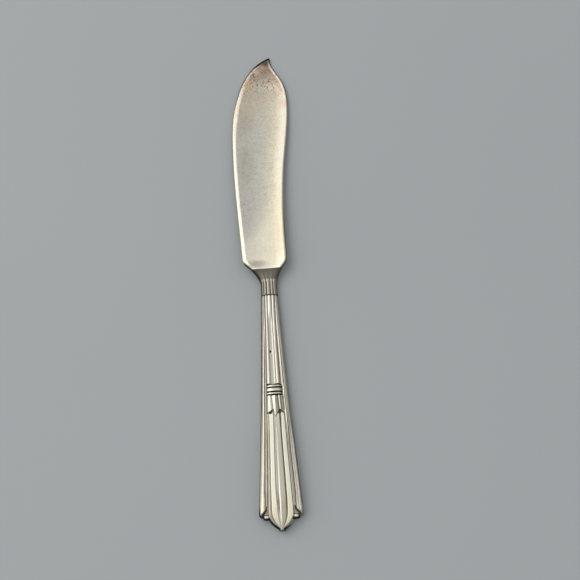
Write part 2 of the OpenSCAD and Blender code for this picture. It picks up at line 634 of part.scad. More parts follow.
// A face with a bevel on the left, a hollow and a rounded back edge, which fade towards the tip
tip_fade = 14;
face_tilt = 0.08;
function face_relief(t, left_gap, right_gap, y) = let (fade = clamp((tip_y - y) / tip_fade),
        round = min(edge_round, 0.6 * blade_t(y)), hollow = face_hollow * (1 - abs(t) ^ (t < 0 ? 2 : 2.6)))
    (face_tilt * t - hollow) * fade - bevel_d * clamp(1 - left_gap / bevel_w) * mix(0.35, 1, fade)
    - round * quarter_round(right_gap / round);

// How far the undersides of the neck and the face rise towards their sides, and the least thickness
neck_rise = 0.9;
face_rise = 0.15;
least_t = 0.25;
// A point across a row, as [x, upper z, lower z]
function blade_point(j, y) = let (l = curve(left_edge, y), r = curve(right_edge, y), x = blade_x(j, y),
        k = face_share(y), t = 2 * (x - l) / (r - l) - 1,
        left_gap = (x - l) / lean(left_edge, y), right_gap = (r - x) / lean(right_edge, y),
        upper = mix(neck_z(y) + neck_relief(t, y), face_z(y) + face_relief(t, left_gap, right_gap, y), k),
        lower = under_z(y) + t ^ 4 * mix(neck_rise, face_rise * clamp((tip_y - y) / tip_fade), k))
    [x, upper, max(0, min(lower, upper - least_t))];

function blade_ring(y) = let (points = [for (j = [0 : blade_columns - 1]) blade_point(j, y)])
    concat([for (p = points) [p[0], y, p[1]]],
        [for (j = [blade_columns - 1 : -1 : 0]) [points[j][0], y, points[j][2]]]);

function tang_ring(y) = let (s = tang_section(y)) concat(
    [for (t = neck_ts) [s[0] * t, y, s[2]]],
    [for (t = neck_ts) [-s[0] * t, y, s[1]]]);

// Rows along the neck, the heel, the blade and its tip
blade_ys = concat([for (i = [0 : 13]) mix(joint_y, crease_y, i / 14)],
    [for (i = [0 : 6]) mix(crease_y, heel_y + 3, i / 6)],
    [for (i = [1 : 14]) mix(heel_y + 3, tip_y - hook_l, i / 14)],
    [for (k = [0.78, 0.6, 0.44, 0.3, 0.19, 0.1, 0.04, 0]) tip_y - k * hook_l]);

module blade() {
    rings = concat([tang_ring(joint_y - tang_l), tang_ring(joint_y)], [for (y = blade_ys) blade_ring(y)]);
    n = 2 * blade_columns;
    color(silver) loft([for (i = [len(rings) - 1 : -1 : 0]) rings[i]],
        strip_cap(0, n), flipped(strip_cap((len(rings) - 1) * n, n)));
}

blade();
handle_front();
handle_back();
handle_cement();
rim_solder();
neck_solder();
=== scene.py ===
"""Looks of the master butter knife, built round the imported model.

The knife has a worn, silver-plated blade with a fluted neck, and a hollow handle of two stamped shells.
"""

import math
from functools import reduce

import bpy
import numpy as np
from bpy.props import FloatProperty, FloatVectorProperty, PointerProperty
from mathutils import Matrix, Vector


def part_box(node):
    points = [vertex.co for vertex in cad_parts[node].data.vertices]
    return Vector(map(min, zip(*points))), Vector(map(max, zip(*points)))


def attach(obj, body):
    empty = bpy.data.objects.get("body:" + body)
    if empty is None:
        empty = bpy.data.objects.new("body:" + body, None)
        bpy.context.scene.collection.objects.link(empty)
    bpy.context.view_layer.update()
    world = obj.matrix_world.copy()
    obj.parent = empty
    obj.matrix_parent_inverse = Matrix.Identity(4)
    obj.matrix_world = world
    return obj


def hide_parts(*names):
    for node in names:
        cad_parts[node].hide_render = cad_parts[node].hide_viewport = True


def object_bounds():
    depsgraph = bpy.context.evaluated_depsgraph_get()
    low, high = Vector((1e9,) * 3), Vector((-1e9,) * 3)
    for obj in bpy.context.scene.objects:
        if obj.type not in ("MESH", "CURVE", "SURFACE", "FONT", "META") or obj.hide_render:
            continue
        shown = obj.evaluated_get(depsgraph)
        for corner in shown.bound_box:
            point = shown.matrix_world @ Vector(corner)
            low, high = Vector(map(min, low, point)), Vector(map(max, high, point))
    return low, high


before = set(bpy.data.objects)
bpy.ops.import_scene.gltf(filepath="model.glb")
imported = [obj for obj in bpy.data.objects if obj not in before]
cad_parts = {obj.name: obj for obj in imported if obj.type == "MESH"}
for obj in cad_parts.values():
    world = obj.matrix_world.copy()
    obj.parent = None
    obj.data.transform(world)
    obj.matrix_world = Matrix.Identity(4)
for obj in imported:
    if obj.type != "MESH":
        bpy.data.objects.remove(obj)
CAD_BOX = [list(corner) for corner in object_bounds()]

bl_info = {
    "name": "Master Butter Knife",
    "version": (1, 0, 0),
    "blender": (4, 5, 0),
    "location": "View3D > Sidebar > Knife",
    "description": "Builds a worn silver-plated butter knife with a reeded handle round its packed model",
    "category": "Object",
}

MM = 0.001
BODY = "root"
BUTT_Y = CAD_BOX[0][1]
TIP_Y = CAD_BOX[1][1]
# Angle between faces from which an edge is sharp
SHARP_ANGLE = math.radians(52)
# Specular level of the film and oxide, where the plate is no bare metal
GLOSS = 0.15

# Panels of each half of the front, from the middle to the side
MIDDLE, RIM, REED, LOBE = range(4)
# Kinds of relief along the front, from the neck to the butt
UPPER, STRAP, ROOFED, PETAL = range(4)
LEFT, RIGHT = True, False
# How far the shells' inner points draw in where the handle is solid
CLOSED = 0.98


def millimetres(name, description, size):
    """A length property whose default is given in millimetres."""
    return FloatProperty(name=name, description=description, default=size * MM, unit="LENGTH", precision=5)


def share(name, description, value):
    """A property for a plain number between 0 and 1."""
    return FloatProperty(name=name, description=description, default=value, min=0.0, max=1.0,
                         subtype="FACTOR")


def colour(name, description, value):
    """A linear colour property."""
    return FloatVectorProperty(name=name, description=description, default=value, size=3, min=0.0, max=1.0,
                               subtype="COLOR")


def angle(name, description, degrees):
    """An angle property whose default is given in degrees."""
    return FloatProperty(name=name, description=description, default=math.radians(degrees), subtype="ANGLE")


def power(name, description, watts):
    """A lamp's power property."""
    return FloatProperty(name=name, description=description, default=watts, subtype="POWER")


class HandleSizes(bpy.types.PropertyGroup):
    """Sizes of the two stamped shells."""

    joint_half: millimetres("Joint half width", "Half width of the handle at the neck joint", 2.65)
    side_bow: millimetres("Side bow", "How far the sides bow in from a straight taper", 0.28)
    lobe_end: millimetres("Lobe end", "Distance from the point of the petal to the ends of the lobes", 4.6)
    lobe_r: millimetres("Lobe corner", "Radius of the outer corner of a lobe", 0.9)
    petal_round: millimetres("Petal rounding", "Length over which the petal rounds in to its point", 6.5)
    point_half: millimetres("Point half width", "Half width of the blunted point of the petal", 0.6)
    bead_x: millimetres("Bead place", "Distance of a bead from the middle of the handle", 4.85)
    bead_half: millimetres("Bead half width", "Half width of a bead", 0.85)
    bead_r: millimetres("Bead half length", "Half length of a bead along the handle", 0.5)
    flare: millimetres("Flare", "How far the rounded sides stand out beyond the ribs", 0.4)
    low_flare: millimetres("Low flare", "How far the sides stand out beyond the lobes", 0.15)
    shell_t: millimetres("Shell thickness", "Thickness of the shells", 0.6)
    relief_room: millimetres("Relief room", "Depth kept clear under the deepest relief", 0.35)
    back_r: millimetres("Back edge", "Radius of the edge round the flat back", 0.9)
    edge_joint_z: millimetres("Edge at the joint", "Height of the front's edge at the neck joint", 2.9)
    edge_lobe_z: millimetres("Edge at the lobes", "Height of the front's edge at the lobes", 3.5)
    crown_joint_z: millimetres("Crown at the joint", "Height of the front's middle at the neck joint", 4.1)
    crown_petal_z: millimetres("Crown of the petal", "Height of the front's middle on the petal", 4.89)
    crown_point_z: millimetres("Crown at the point", "Height of the front's middle at the point", 3.3)
    cavity_end: millimetres("Cavity end", "Distance from the point at which the shells' hollow ends", 8.0)


class OrnamentSizes(bpy.types.PropertyGroup):
    """Sizes of the reeds, the band, the fringe and the petal."""

    reed_h: millimetres("Reed height", "Height of the reeds above the lines between them", 0.4)
    low_reed_h: millimetres("Low reeds", "Height of the low reed beside each lobe", 0.2)
    flute_d: millimetres("Flute depth", "Depth of the hollow along the middle of the upper handle", 0.14)
    roof_h: millimetres("Roof height", "Height of the roofed rib below the band", 0.36)
    lobe_h: millimetres("Lobe height", "Height of the outer ribs and lobes", 0.42)
    band_from_joint: millimetres("Band place", "Distance from the shell's end to the band's first line", 32.7)
    band_pair: millimetres("Line pair", "Distance between the two lines of a pair", 1.05)
    band_gap: millimetres("Line gap", "Distance between the two pairs of lines", 1.55)
    band_d: millimetres("Line depth", "Depth of the band's lines", 0.3)
    band_line: millimetres("Line half width", "Half the width of one line of the band", 0.32)
    strap_h: millimetres("Strap height", "Height of the smooth strap that the band's lines cross", 0.3)
    fringe_from_band: millimetres("Fringe place", "Distance from the last line to the fringe's notches", 5.0)
    fringe_middle: millimetres("Middle point", "Reach of the fringe's middle point below its notches", 2.5)
    fringe_side: millimetres("Side points", "Reach of the fringe's side points below its notches", 1.2)
    fringe_d: millimetres("Fringe depth", "Depth of the cut below the fringe", 0.4)
    valley_d: millimetres("Valley depth", "Depth of the petal's two valleys", 0.14)
    ridge_h: millimetres("Ridge height", "Height of the fine ridge along the petal", 0.07)
    rim_h: millimetres("Rim height", "Height of the petal's rims", 0.28)
    rim_line_d: millimetres("Rim line depth", "Depth of the fine line cut along each rim", 0.16)
    fold_d: millimetres("Fold depth", "Depth of the slanting fold at the end of each lobe", 0.4)


class BladeSizes(bpy.types.PropertyGroup):
    """Sizes of the blade and the neck."""

    neck_l: millimetres("Neck length", "Length from the joint to the corners of the heel", 13.0)
    belly_reach: millimetres("Belly", "Reach of the spreading edge to the left of the middle", 10.44)
    belly_from_heel: millimetres("Belly place", "Distance from the heel to the belly", 41.5)
    shoulder_reach: millimetres("Shoulder", "Reach of the back edge to the right of the middle", 10.42)
    shoulder_from_tip: millimetres("Shoulder place", "Distance from the tip to the shoulder", 19.5)
    waist_reach: millimetres("Waist", "Reach of the waist in the back edge", 6.75)
    heel_left: millimetres("Heel, left", "Reach of the heel's left corner", 8.7)
    heel_right: millimetres("Heel, right", "Reach of the heel's right corner", 6.95)
    tip_x: millimetres("Tip place", "Distance of the tip to the right of the middle", 4.3)
    heel_t: millimetres("Heel thickness", "Thickness of the blade at the heel", 1.5)
    tip_t: millimetres("Tip thickness", "Thickness of the blade at the tip", 0.8)
    heel_z: millimetres("Heel height", "Height of the heel's underside above the table", 3.5)
    bevel_d: millimetres("Bevel depth", "Depth of the bevel along the spreading edge", 0.4)
    bevel_w: millimetres("Bevel width", "Width of the bevel along the spreading edge", 1.15)
    edge_round: millimetres("Edge rounding", "Radius of the rounded back edge", 1.0)
    face_hollow: millimetres("Face hollow", "Depth of the hollow across the face", 0.36)
    neck_half: millimetres("Neck half width", "Half width of the neck's ribs at the joint", 2.5)
    neck_flare: millimetres("Neck flare", "How far the neck's rounded sides stand out beyond its ribs", 0.4)
    neck_bottom_z: millimetres("Neck underside", "Height of the neck's lower side at the joint", 0.5)
    neck_top_z: millimetres("Neck top", "Height of the neck's upper side at the joint", 3.6)
    neck_rib_h: millimetres("Neck rib height", "Height of the five ribs of the neck", 0.36)


class SilverColours(bpy.types.PropertyGroup):
    """Colours of the worn plate, of its painted highlights and shade, and of the cement and the solder."""

    # Lighter colour towards the heel, and painted highlight at the crease and on the bevel
    bright: colour("Bright silver", "Light plate towards the heel and on the bevel", (0.82, 0.78, 0.645))
    satin: colour("Satin silver", "Plain plate, as on the blade's broad face", (0.605, 0.6, 0.535))
    # Warm silver is yellowed plate; on the blade's right half it is partly painted light
    warm: colour("Warm silver", "Yellowed plate at the blade's back and round the butt", (0.84, 0.76, 0.57))
    # Rosy and cream plate lies on the rubbed high points, and as painted highlight on the beads and the left
    # outer rib
    rosy: colour("Rosy silver", "Plate on the upper handle's rubbed ribs", (0.90, 0.84, 0.725))
    cream: colour("Cream silver", "Plate on the petal's rims and the lobes", (0.90, 0.875, 0.71))
    # Facet grey is partly film, partly painted shade
    facet: colour("Facet grey", "Grey film on the petal's two facets", (0.43, 0.432, 0.38))
    # Colour of the painted highlights on the beads, the ridge, the rims, the crease's lip and the bevel
    highlight_silver: colour("Polished silver", "Plate on the beads, the ridge and the crease", (0.95, 0.92, 0.82))
    # Film and shade colours: film in the hollows, and painted shade on the right-facing flanks, the facets
    # and the butt's right side
    film: colour("Film", "Thin olive film between the ribs", (0.50, 0.462, 0.385))
    shade: colour("Shade", "Thick olive film in the handle's hollows", (0.205, 0.185, 0.14))
    # Tarnish towards the back's seam is partly painted shade
    tarnish: colour("Tarnish", "Brown film in specks and along the back's edge", (0.22, 0.18, 0.13))
    # Colour of the painted shade in the cove, on the neck and above the heel
    smoke: colour("Smoke", "Grey film in the cove and above the heel", (0.13, 0.12, 0.1))
    bare: colour("Bare tip", "Base metal worn bare at the tip", (0.315, 0.245, 0.185))
    # Black is oxide in the cut lines and seams, and painted shade along the sides, round the beads, at the
    # blade's edges and on the back
    black: colour("Black line", "Oxide at the bottom of the cut lines", (0.018, 0.016, 0.012))
    copper: colour("Copper wear", "Base metal that shows where the plate is worn", (0.78, 0.56, 0.44))
    beige: colour("Beige wear", "Thin plate near the tip", (0.58, 0.48, 0.36))
    gold: colour("Golden wear", "Golden film near the tip", (0.66, 0.47, 0.27))
    shell: colour("Shell pink", "Rubbed rim round the tip", (0.90, 0.78, 0.69))
    brown: colour("Brown", "Specks near the tip and stains in the cement", (0.24, 0.17, 0.105))
    mauve: colour("Mauve film", "Faint mauve film on the blade", (0.60, 0.56, 0.55))
    dull: colour("Dull back", "Plate of the plain back", (0.62, 0.59, 0.48))
    cement: colour("Cement", "Filling round the tang", (0.26, 0.22, 0.16))
    solder: colour("Solder", "Soft solder at the seams", (0.16, 0.15, 0.13))
    roughness: share("Roughness", "Roughness of the rubbed plate", 0.34)


class StageSettings(bpy.types.PropertyGroup):
    """Floor, lamps and camera."""

    floor: colour("Floor", "Plain pale floor", (0.485, 0.515, 0.535))
    azimuth: angle("Azimuth", "Camera's turn to the right of the butt", 4.5)
    elevation: angle("Elevation", "Camera's height above the horizon", 67.8)
    roll: angle("Roll", "Camera's turn about its own axis", -8.35)
    distance: millimetres("Distance", "Camera's distance from its aim", 500.0)
    aim_x: millimetres("Aim across", "Place across the knife that the camera looks at", 7.22)
    aim_y: millimetres("Aim along", "Place along the knife that the camera looks at", -5.06)
    aim_z: millimetres("Aim height", "Height that the camera looks at", 2.0)
    lens: FloatProperty(name="Lens", description="Focal length for a 36 mm wide sensor", default=89.38)
    world: FloatProperty(name="Room", description="Strength of the room's even light", default=0.38)
    room_colour: colour("Room colour", "Colour of the room's even light", (0.96, 0.98, 1.0))
    lamp_colour: colour("Lamp colour", "Colour of the three lamps", (1.0, 0.97, 0.92))
    side_lamp: power("Side lamp", "Power of the large lamp on the left", 2.0)
    top_lamp: power("Top lamp", "Power of the broad lamp overhead", 7.6)
    ceiling: power("Ceiling", "Power of the dim, wide light from the ceiling", 8.0)


def mix(a, b, k):
    """The value between a and b at share k."""
    return a + (b - a) * k


def clamp(v):
    """v held between 0 and 1."""
    return np.clip(v, 0.0, 1.0)


def ease(v):
    """A smooth step from 0 to 1."""
    u = clamp(v)
    return u * u * (3 - 2 * u)


def fade_in(distance, start, length):
    """0 up to a start, then rising smoothly to 1 over a length; both are in millimetres."""
    return ease((distance - start * MM) / (length * MM))


def fade_out(distance, end, length):
    """1 at first, falling smoothly to 0 at an end over a length; both are in millimetres."""
    return ease((end * MM - distance) / (length * MM))


def near(gap, width, peak):
    """A soft line: full where there is no gap and gone at its peak times its width in millimetres."""
    return clamp(peak - gap / (width * MM))


def strongest(*values):
    """The largest of several values at each point."""
    return reduce(np.maximum, values)


def hump(f):
    """A rib's round: 0 at both its lines and 1 in its middle."""
    return 4 * f * (1 - f)


def quarter_round(u):
    """How far a rounded edge falls, from 1 at its brink to 0 a radius in."""
    return 1 - np.sqrt(clamp(1 - (1 - clamp(u)) ** 2))


def curve(knots, places):
    """A smooth curve through knots of place, value and slope, at an array of places."""
    at, value, slope = np.array(knots, float).T
    places = np.asarray(places, float)
    i = np.clip(np.searchsorted(at, places, side="right") - 1, 0, len(at) - 2)
    step = at[i + 1] - at[i]
    u = clamp((places - at[i]) / step)
    return (value[i] * (2 * u**3 - 3 * u**2 + 1) + step * slope[i] * (u**3 - 2 * u**2 + u)
            + value[i + 1] * (3 * u**2 - 2 * u**3) + step * slope[i + 1] * (u**3 - u**2))


def from_line(x, y, start, end):
    """Distance of the places x, y from a straight line between two points."""
    along = np.subtract(end, start)
    k = clamp(((x - start[0]) * along[0] + (y - start[1]) * along[1]) / (along @ along))
    return np.hypot(x - start[0] - k * along[0], y - start[1] - k * along[1])


def spots(x, y, *rows):
    """The strongest of some soft spots: place, half width and half length in millimetres, and strength."""
    shade = np.zeros_like(x)
    for place_x, place_y, half_w, half_l, strength in rows:
        off = np.hypot((x / MM - place_x) / half_w, (y / MM - place_y) / half_l)
        shade = np.maximum(shade, strength * clamp(1 - off))
    return shade


def shade_of_hollows(z, reach):
    """How far each point lies below the mean of its neighbours across the piece, as a height."""
    kernel = np.ones(2 * reach + 1) / (2 * reach + 1)
    padded = np.pad(z, ((0, 0), (reach, reach)), mode="edge")
    mean = np.stack([np.convolve(row, kernel, mode="valid") for row in padded])
    return mean - z


def points(x, y, z):
    """Points from arrays of places that spread over each other."""
    return np.stack(np.broadcast_arrays(x, y, z), axis=-1)


def ring_faces(rows, around):
    """Quads between rings of points that close on themselves."""
    i, j = np.meshgrid(np.arange(rows - 1), np.arange(around), indexing="ij")
    k = (j + 1) % around
    quads = np.stack([i * around + j, i * around + k, (i + 1) * around + k, (i + 1) * around + j], axis=-1)
    return quads.reshape(-1, 4).tolist()


def loft(name, rings, marks):
    """A closed mesh piece through rings of points, with a flat cap at each end and a value at each point."""
    rows, around = rings.shape[:2]
    places = rings.reshape(-1, 3)
    last = (rows - 1) * around
    faces = ring_faces(rows, around)
    faces.append(list(range(around))[::-1])
    faces.append(list(range(last, last + around)))
    corners = np.array(faces[:-2])
    a, b, c, d = (places[corners[:, k]] for k in range(4))
    volume = np.einsum("ij,ij->", np.cross(c - a, d - b), a + b + c + d)
    if volume < 0:
        faces = [face[::-1] for face in faces]
    mesh = bpy.data.meshes.new(name)
    mesh.from_pydata(places.tolist(), [], faces)
    for mark, values in marks.items():
        layer = mesh.attributes.new(mark, "FLOAT", "POINT")
        layer.data.foreach_set("value", np.ascontiguousarray(values.reshape(-1), np.float32))
    mesh.validate()
    mesh.shade_smooth()
    mesh.set_sharp_from_angle(angle=SHARP_ANGLE)
    piece = bpy.data.objects.new(name, mesh)
    bpy.context.scene.collection.objects.link(piece)
    return piece


def dress(piece, material, slot, *nodes):
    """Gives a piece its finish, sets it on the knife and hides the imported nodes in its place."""
    piece.data.materials.append(material)
    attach(piece, BODY)
    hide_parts(*nodes)


class HandleForm:
    """Outline, lines and plain surfaces of the handle at arrays of places."""

    # Places of the second and third lines, as shares of the half width, and fullness of the crown
    LINE_B = 0.61
    LINE_C = 0.77
    CROWN_POWER = 3.4

    def __init__(self, sizes, ornament):
        self.s = sizes
        self.o = ornament
        low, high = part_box("handle_front")
        self.butt_y = low.y
        self.shell_y = high.y
        self.rim_z = low.z
        self.lobe_half = high.x - sizes.flare
        self.joint_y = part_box("neck_solder")[1].y
        self.bead_e = sizes.lobe_end - 0.35 * MM
        first = self.shell_y - ornament.band_from_joint
        second = first - ornament.band_pair
        third = second - ornament.band_gap
        self.band_ys = [first, second, third, third - ornament.band_pair]
        self.notch_y = self.band_ys[3] - ornament.fringe_from_band

    def side_half(self, y):
        """Half width of the handle's tapering sides."""
        side_l = self.joint_y - self.butt_y - self.s.lobe_end - self.s.lobe_r
        u = (self.joint_y - y) / side_l
        return mix(self.s.joint_half, self.lobe_half, u) - self.s.side_bow * hump(u)

    def petal_half(self, y):
        """Half width of the petal, which rounds in to its point."""
        rounding = 1 - (1 - clamp((y - self.butt_y) / self.s.petal_round)) ** 2.6
        return np.maximum(self.s.point_half, self.LINE_B * self.side_half(y) * rounding)

    def outline_half(self, y):
        """Half width of the whole handle: its sides and lobes, its beads and its petal."""
        e = y - self.butt_y
        r = self.s.lobe_r
        rounded = np.sqrt(np.maximum(0, r**2 - np.maximum(0, self.s.lobe_end + r - e) ** 2))
        lobe = np.where(e < self.s.lobe_end, 0, self.side_half(y) - r + rounded)
        u = (e - self.bead_e) / self.s.bead_r
        bead_side = self.s.bead_x + self.s.bead_half * np.sqrt(np.maximum(0, 1 - u**2))
        bead = np.where(np.abs(u) > 1, 0, bead_side)
        return strongest(self.petal_half(y), lobe, bead)

    def seam_half(self, y):
        """Half width at the seam, where the rounded sides stand out furthest."""
        return self.outline_half(y) + self.s.flare

    def low_share(self, y):
        """0 above the fringe and 1 well below it."""
        return fade_in(self.notch_y - y, 0, 14)

    def butt_share(self, y):
        """1 round the butt and 0 above the lobes' folds."""
        return fade_out(y - self.butt_y, 9, 3)

    def under_butt(self, y):
        """1 at the point and at the beads, below which the right side is in shade."""
        e = y - self.butt_y
        bead_shade = 3.8 * MM
        return np.maximum(fade_out(e, 2.4, 1.2), near(np.abs(e - bead_shade), 0.35, 1.6))

    def flare_at(self, y):
        """How far the rounded sides stand out beyond the top."""
        return mix(self.s.flare, self.s.low_flare, self.low_share(y))

    def top_half(self, y):
        """Half width of the front's top, which comes nearer to the seam towards the lobes."""
        return self.seam_half(y) - self.flare_at(y)

    def edge_z(self, y):
        """Height of the front's edge."""
        return curve([[self.butt_y, self.s.edge_lobe_z - 0.4 * MM, 0],
                      [self.butt_y + 9 * MM, self.s.edge_lobe_z, 0],
                      [self.joint_y, self.s.edge_joint_z, 0]], y)

    def crown_z(self, y):
        """Height of the front's middle."""
        third = (self.joint_y - self.butt_y) / 3
        return curve([[self.butt_y, self.s.crown_point_z, 0.3],
                      [self.butt_y + 9 * MM, self.s.crown_petal_z - 0.2 * MM, 0.05],
                      [self.butt_y + third, self.s.crown_petal_z, 0],
                      [self.joint_y, self.s.crown_joint_z, 0]], y)

    def front_base(self, x, y):
        """Height of the front without its ornament."""
        return mix(self.edge_z(y), self.crown_z(y), 1 - np.abs(x / self.side_half(y)) ** self.CROWN_POWER)

    def line_a(self, y, left):
        """Place of the first line, as a share of the half width; the stamp sits a little off the middle."""
        top, end = self.band_ys[0], self.band_ys[3]
        on_left = curve([[self.butt_y, 0.085, 0], [self.butt_y + 15 * MM, 0.17, 0], [self.notch_y, 0.125, 0],
                         [end, 0.195, 0], [top, 0.26, 0], [self.joint_y, 0.28, 0]], y)
        on_right = curve([[self.butt_y, 0.265, 0], [self.butt_y + 12 * MM, 0.315, 0], [self.notch_y, 0.3, 0],
                          [end, 0.255, 0], [top, 0.17, 0], [self.joint_y - 9 * MM, 0.18, 0],
                          [self.joint_y, 0.23, 0]], y)
        return np.where(left, on_left, on_right)

    def rails(self, y, left):
        """The middle, the three lines across a half of the handle, and its edge."""
        w = self.top_half(y)
        e = y - self.butt_y
        widest_b = 0.94
        b = np.minimum(self.petal_half(y), widest_b * w)
        a = b * self.line_a(y, left) / self.LINE_B
        first = self.band_ys[0]
        slim = curve([[first, 0.8, 0], [first + 10 * MM, 0.83, 0], [self.joint_y - 9 * MM, 0.95, 0.01 / MM],
                      [self.joint_y, 1.1, 0]], y)
        above_band = ease((y - first + self.o.band_line) / (2 * self.o.band_line))
        b = np.where(left, b, b * mix(1.0, slim, above_band))
        straight = 12 * MM
        low_c = self.LINE_C * self.side_half(self.butt_y + straight)
        fold = curve([[4.6 * MM, 6.3 * MM, 0], [4.9 * MM, 6.15 * MM, -0.9], [6.4 * MM, 4.9 * MM, -0.5],
                      [7.6 * MM, 4.65 * MM, 0.1], [straight, low_c, 0]], e)
        c = np.where(e > straight, self.LINE_C * self.side_half(y), fold)
        c = np.clip(c, mix(b, w, 0.3), mix(b, w, 0.7))
        return [np.zeros_like(w), a, b, c, w]

    def fringe_reach(self, panel, f):
        """How far the fringe hangs below its notches at a column."""
        middle = self.o.fringe_middle * (1 - f)
        peak = 0.85
        end = 1.3
        side = self.o.fringe_side * np.minimum(f / peak, (end - f) / (end - peak))
        outer = self.o.fringe_side * (2 / 3) * (1 - f)
        return np.select([panel == MIDDLE, panel == RIM, panel == REED], [middle, side, outer], 0.0)

    def band_groove(self, y):
        """Depth of the band's four lines, as a share."""
        return strongest(*(clamp(1.25 * (1 - np.abs(y - at) / self.o.band_line)) for at in self.band_ys))

    def fold(self, x, y):
        """Share of the slanting fold at the end of a lobe."""
        start = (4.65 * MM, self.butt_y + 7.2 * MM)
        bend = (4.95 * MM, self.butt_y + 6.3 * MM)
        end = (6.3 * MM, self.butt_y + 4.75 * MM)
        gap = np.minimum(from_line(x, y, start, bend), from_line(x, y, bend, end))
        return clamp(1.2 * (1 - gap / (0.32 * MM)))

    def open_rows(self, y):
        """Whether the handle is hollow at a row."""
        return (y - self.butt_y) >= self.s.cavity_end - 1e-9

    def cavity_half(self, y, w):
        """Half width of the hollow inside a shell whose own half width is w."""
        return np.minimum(self.side_half(y) - self.s.shell_t, 0.8 * w)

    def cavity_z(self, q, y):
        """Roof of the hollow, at a share q of its half width."""
        return mix(self.crown_z(y) - self.s.shell_t - self.s.relief_room, self.rim_z, 0.65 * q**2)


def handle_columns():
    """Columns across the front, from left to right: side, panel and share of the panel's width."""
    counts = (14, 30, 14, 24)
    half = [(panel, k / count) for panel, count in enumerate(counts) for k in range(count)]
    half = np.array(half + [(LOBE, 1.0)])
    both = np.concatenate([half[:0:-1], half])
    side = np.concatenate([-np.ones(len(half) - 1), np.ones(len(half))])
    return side, both[:, 0].astype(int), both[:, 1]


def handle_rows(form):
    """Rows along the front, from the neck to the butt: place, bend towards the fringe and kind of relief.

    The third number of each stretch is its count of rows.
    """
    s, line = form.s, form.o.band_line
    first, second, third, fourth = form.band_ys
    rows = [(y, 0.0, UPPER) for y in np.linspace(form.shell_y, first + 1.6 * line, 100)]
    for line_y in form.band_ys:
        for k in (1.3, 1.0, 0.7, 0.4, 0.2, 0.0, -0.2, -0.4, -0.7, -1.0):
            kind = STRAP
            if line_y == first and k > 0:
                kind = UPPER
            if line_y == fourth and k < 0:
                kind = ROOFED
            rows.append((line_y + k * line, 0.0, kind))
        if line_y == second:
            rows += [(mix(second - line, third + 1.3 * line, k), 0.0, STRAP) for k in (0.3, 0.5, 0.7)]
    for k in np.linspace(0, 1, 26):
        rows.append((mix(fourth - 1.3 * line, form.notch_y, k), ease(k), ROOFED))
    top = form.notch_y - 0.03 * MM
    for y in mix(top, form.butt_y + s.cavity_end, np.linspace(0, 1, 170) ** 1.7):
        rows.append((y, 1 - fade_in(top - y, 0, 9), PETAL))
    fold_e = 5.6 * MM
    bead_low = form.bead_e - s.bead_r
    step = 0.01 * MM
    ends = np.concatenate([np.linspace(s.cavity_end - 0.1 * MM, fold_e, 21, endpoint=False),
                           np.linspace(fold_e, s.lobe_end, 24),
                           np.linspace(s.lobe_end - step, bead_low, 24),
                           np.linspace(bead_low - step, MM, 25, endpoint=False),
                           MM * np.linspace(1, 0, 20) ** 1.5])
    rows += [(form.butt_y + e, 0.0, PETAL) for e in ends]
    return np.array(rows, float)


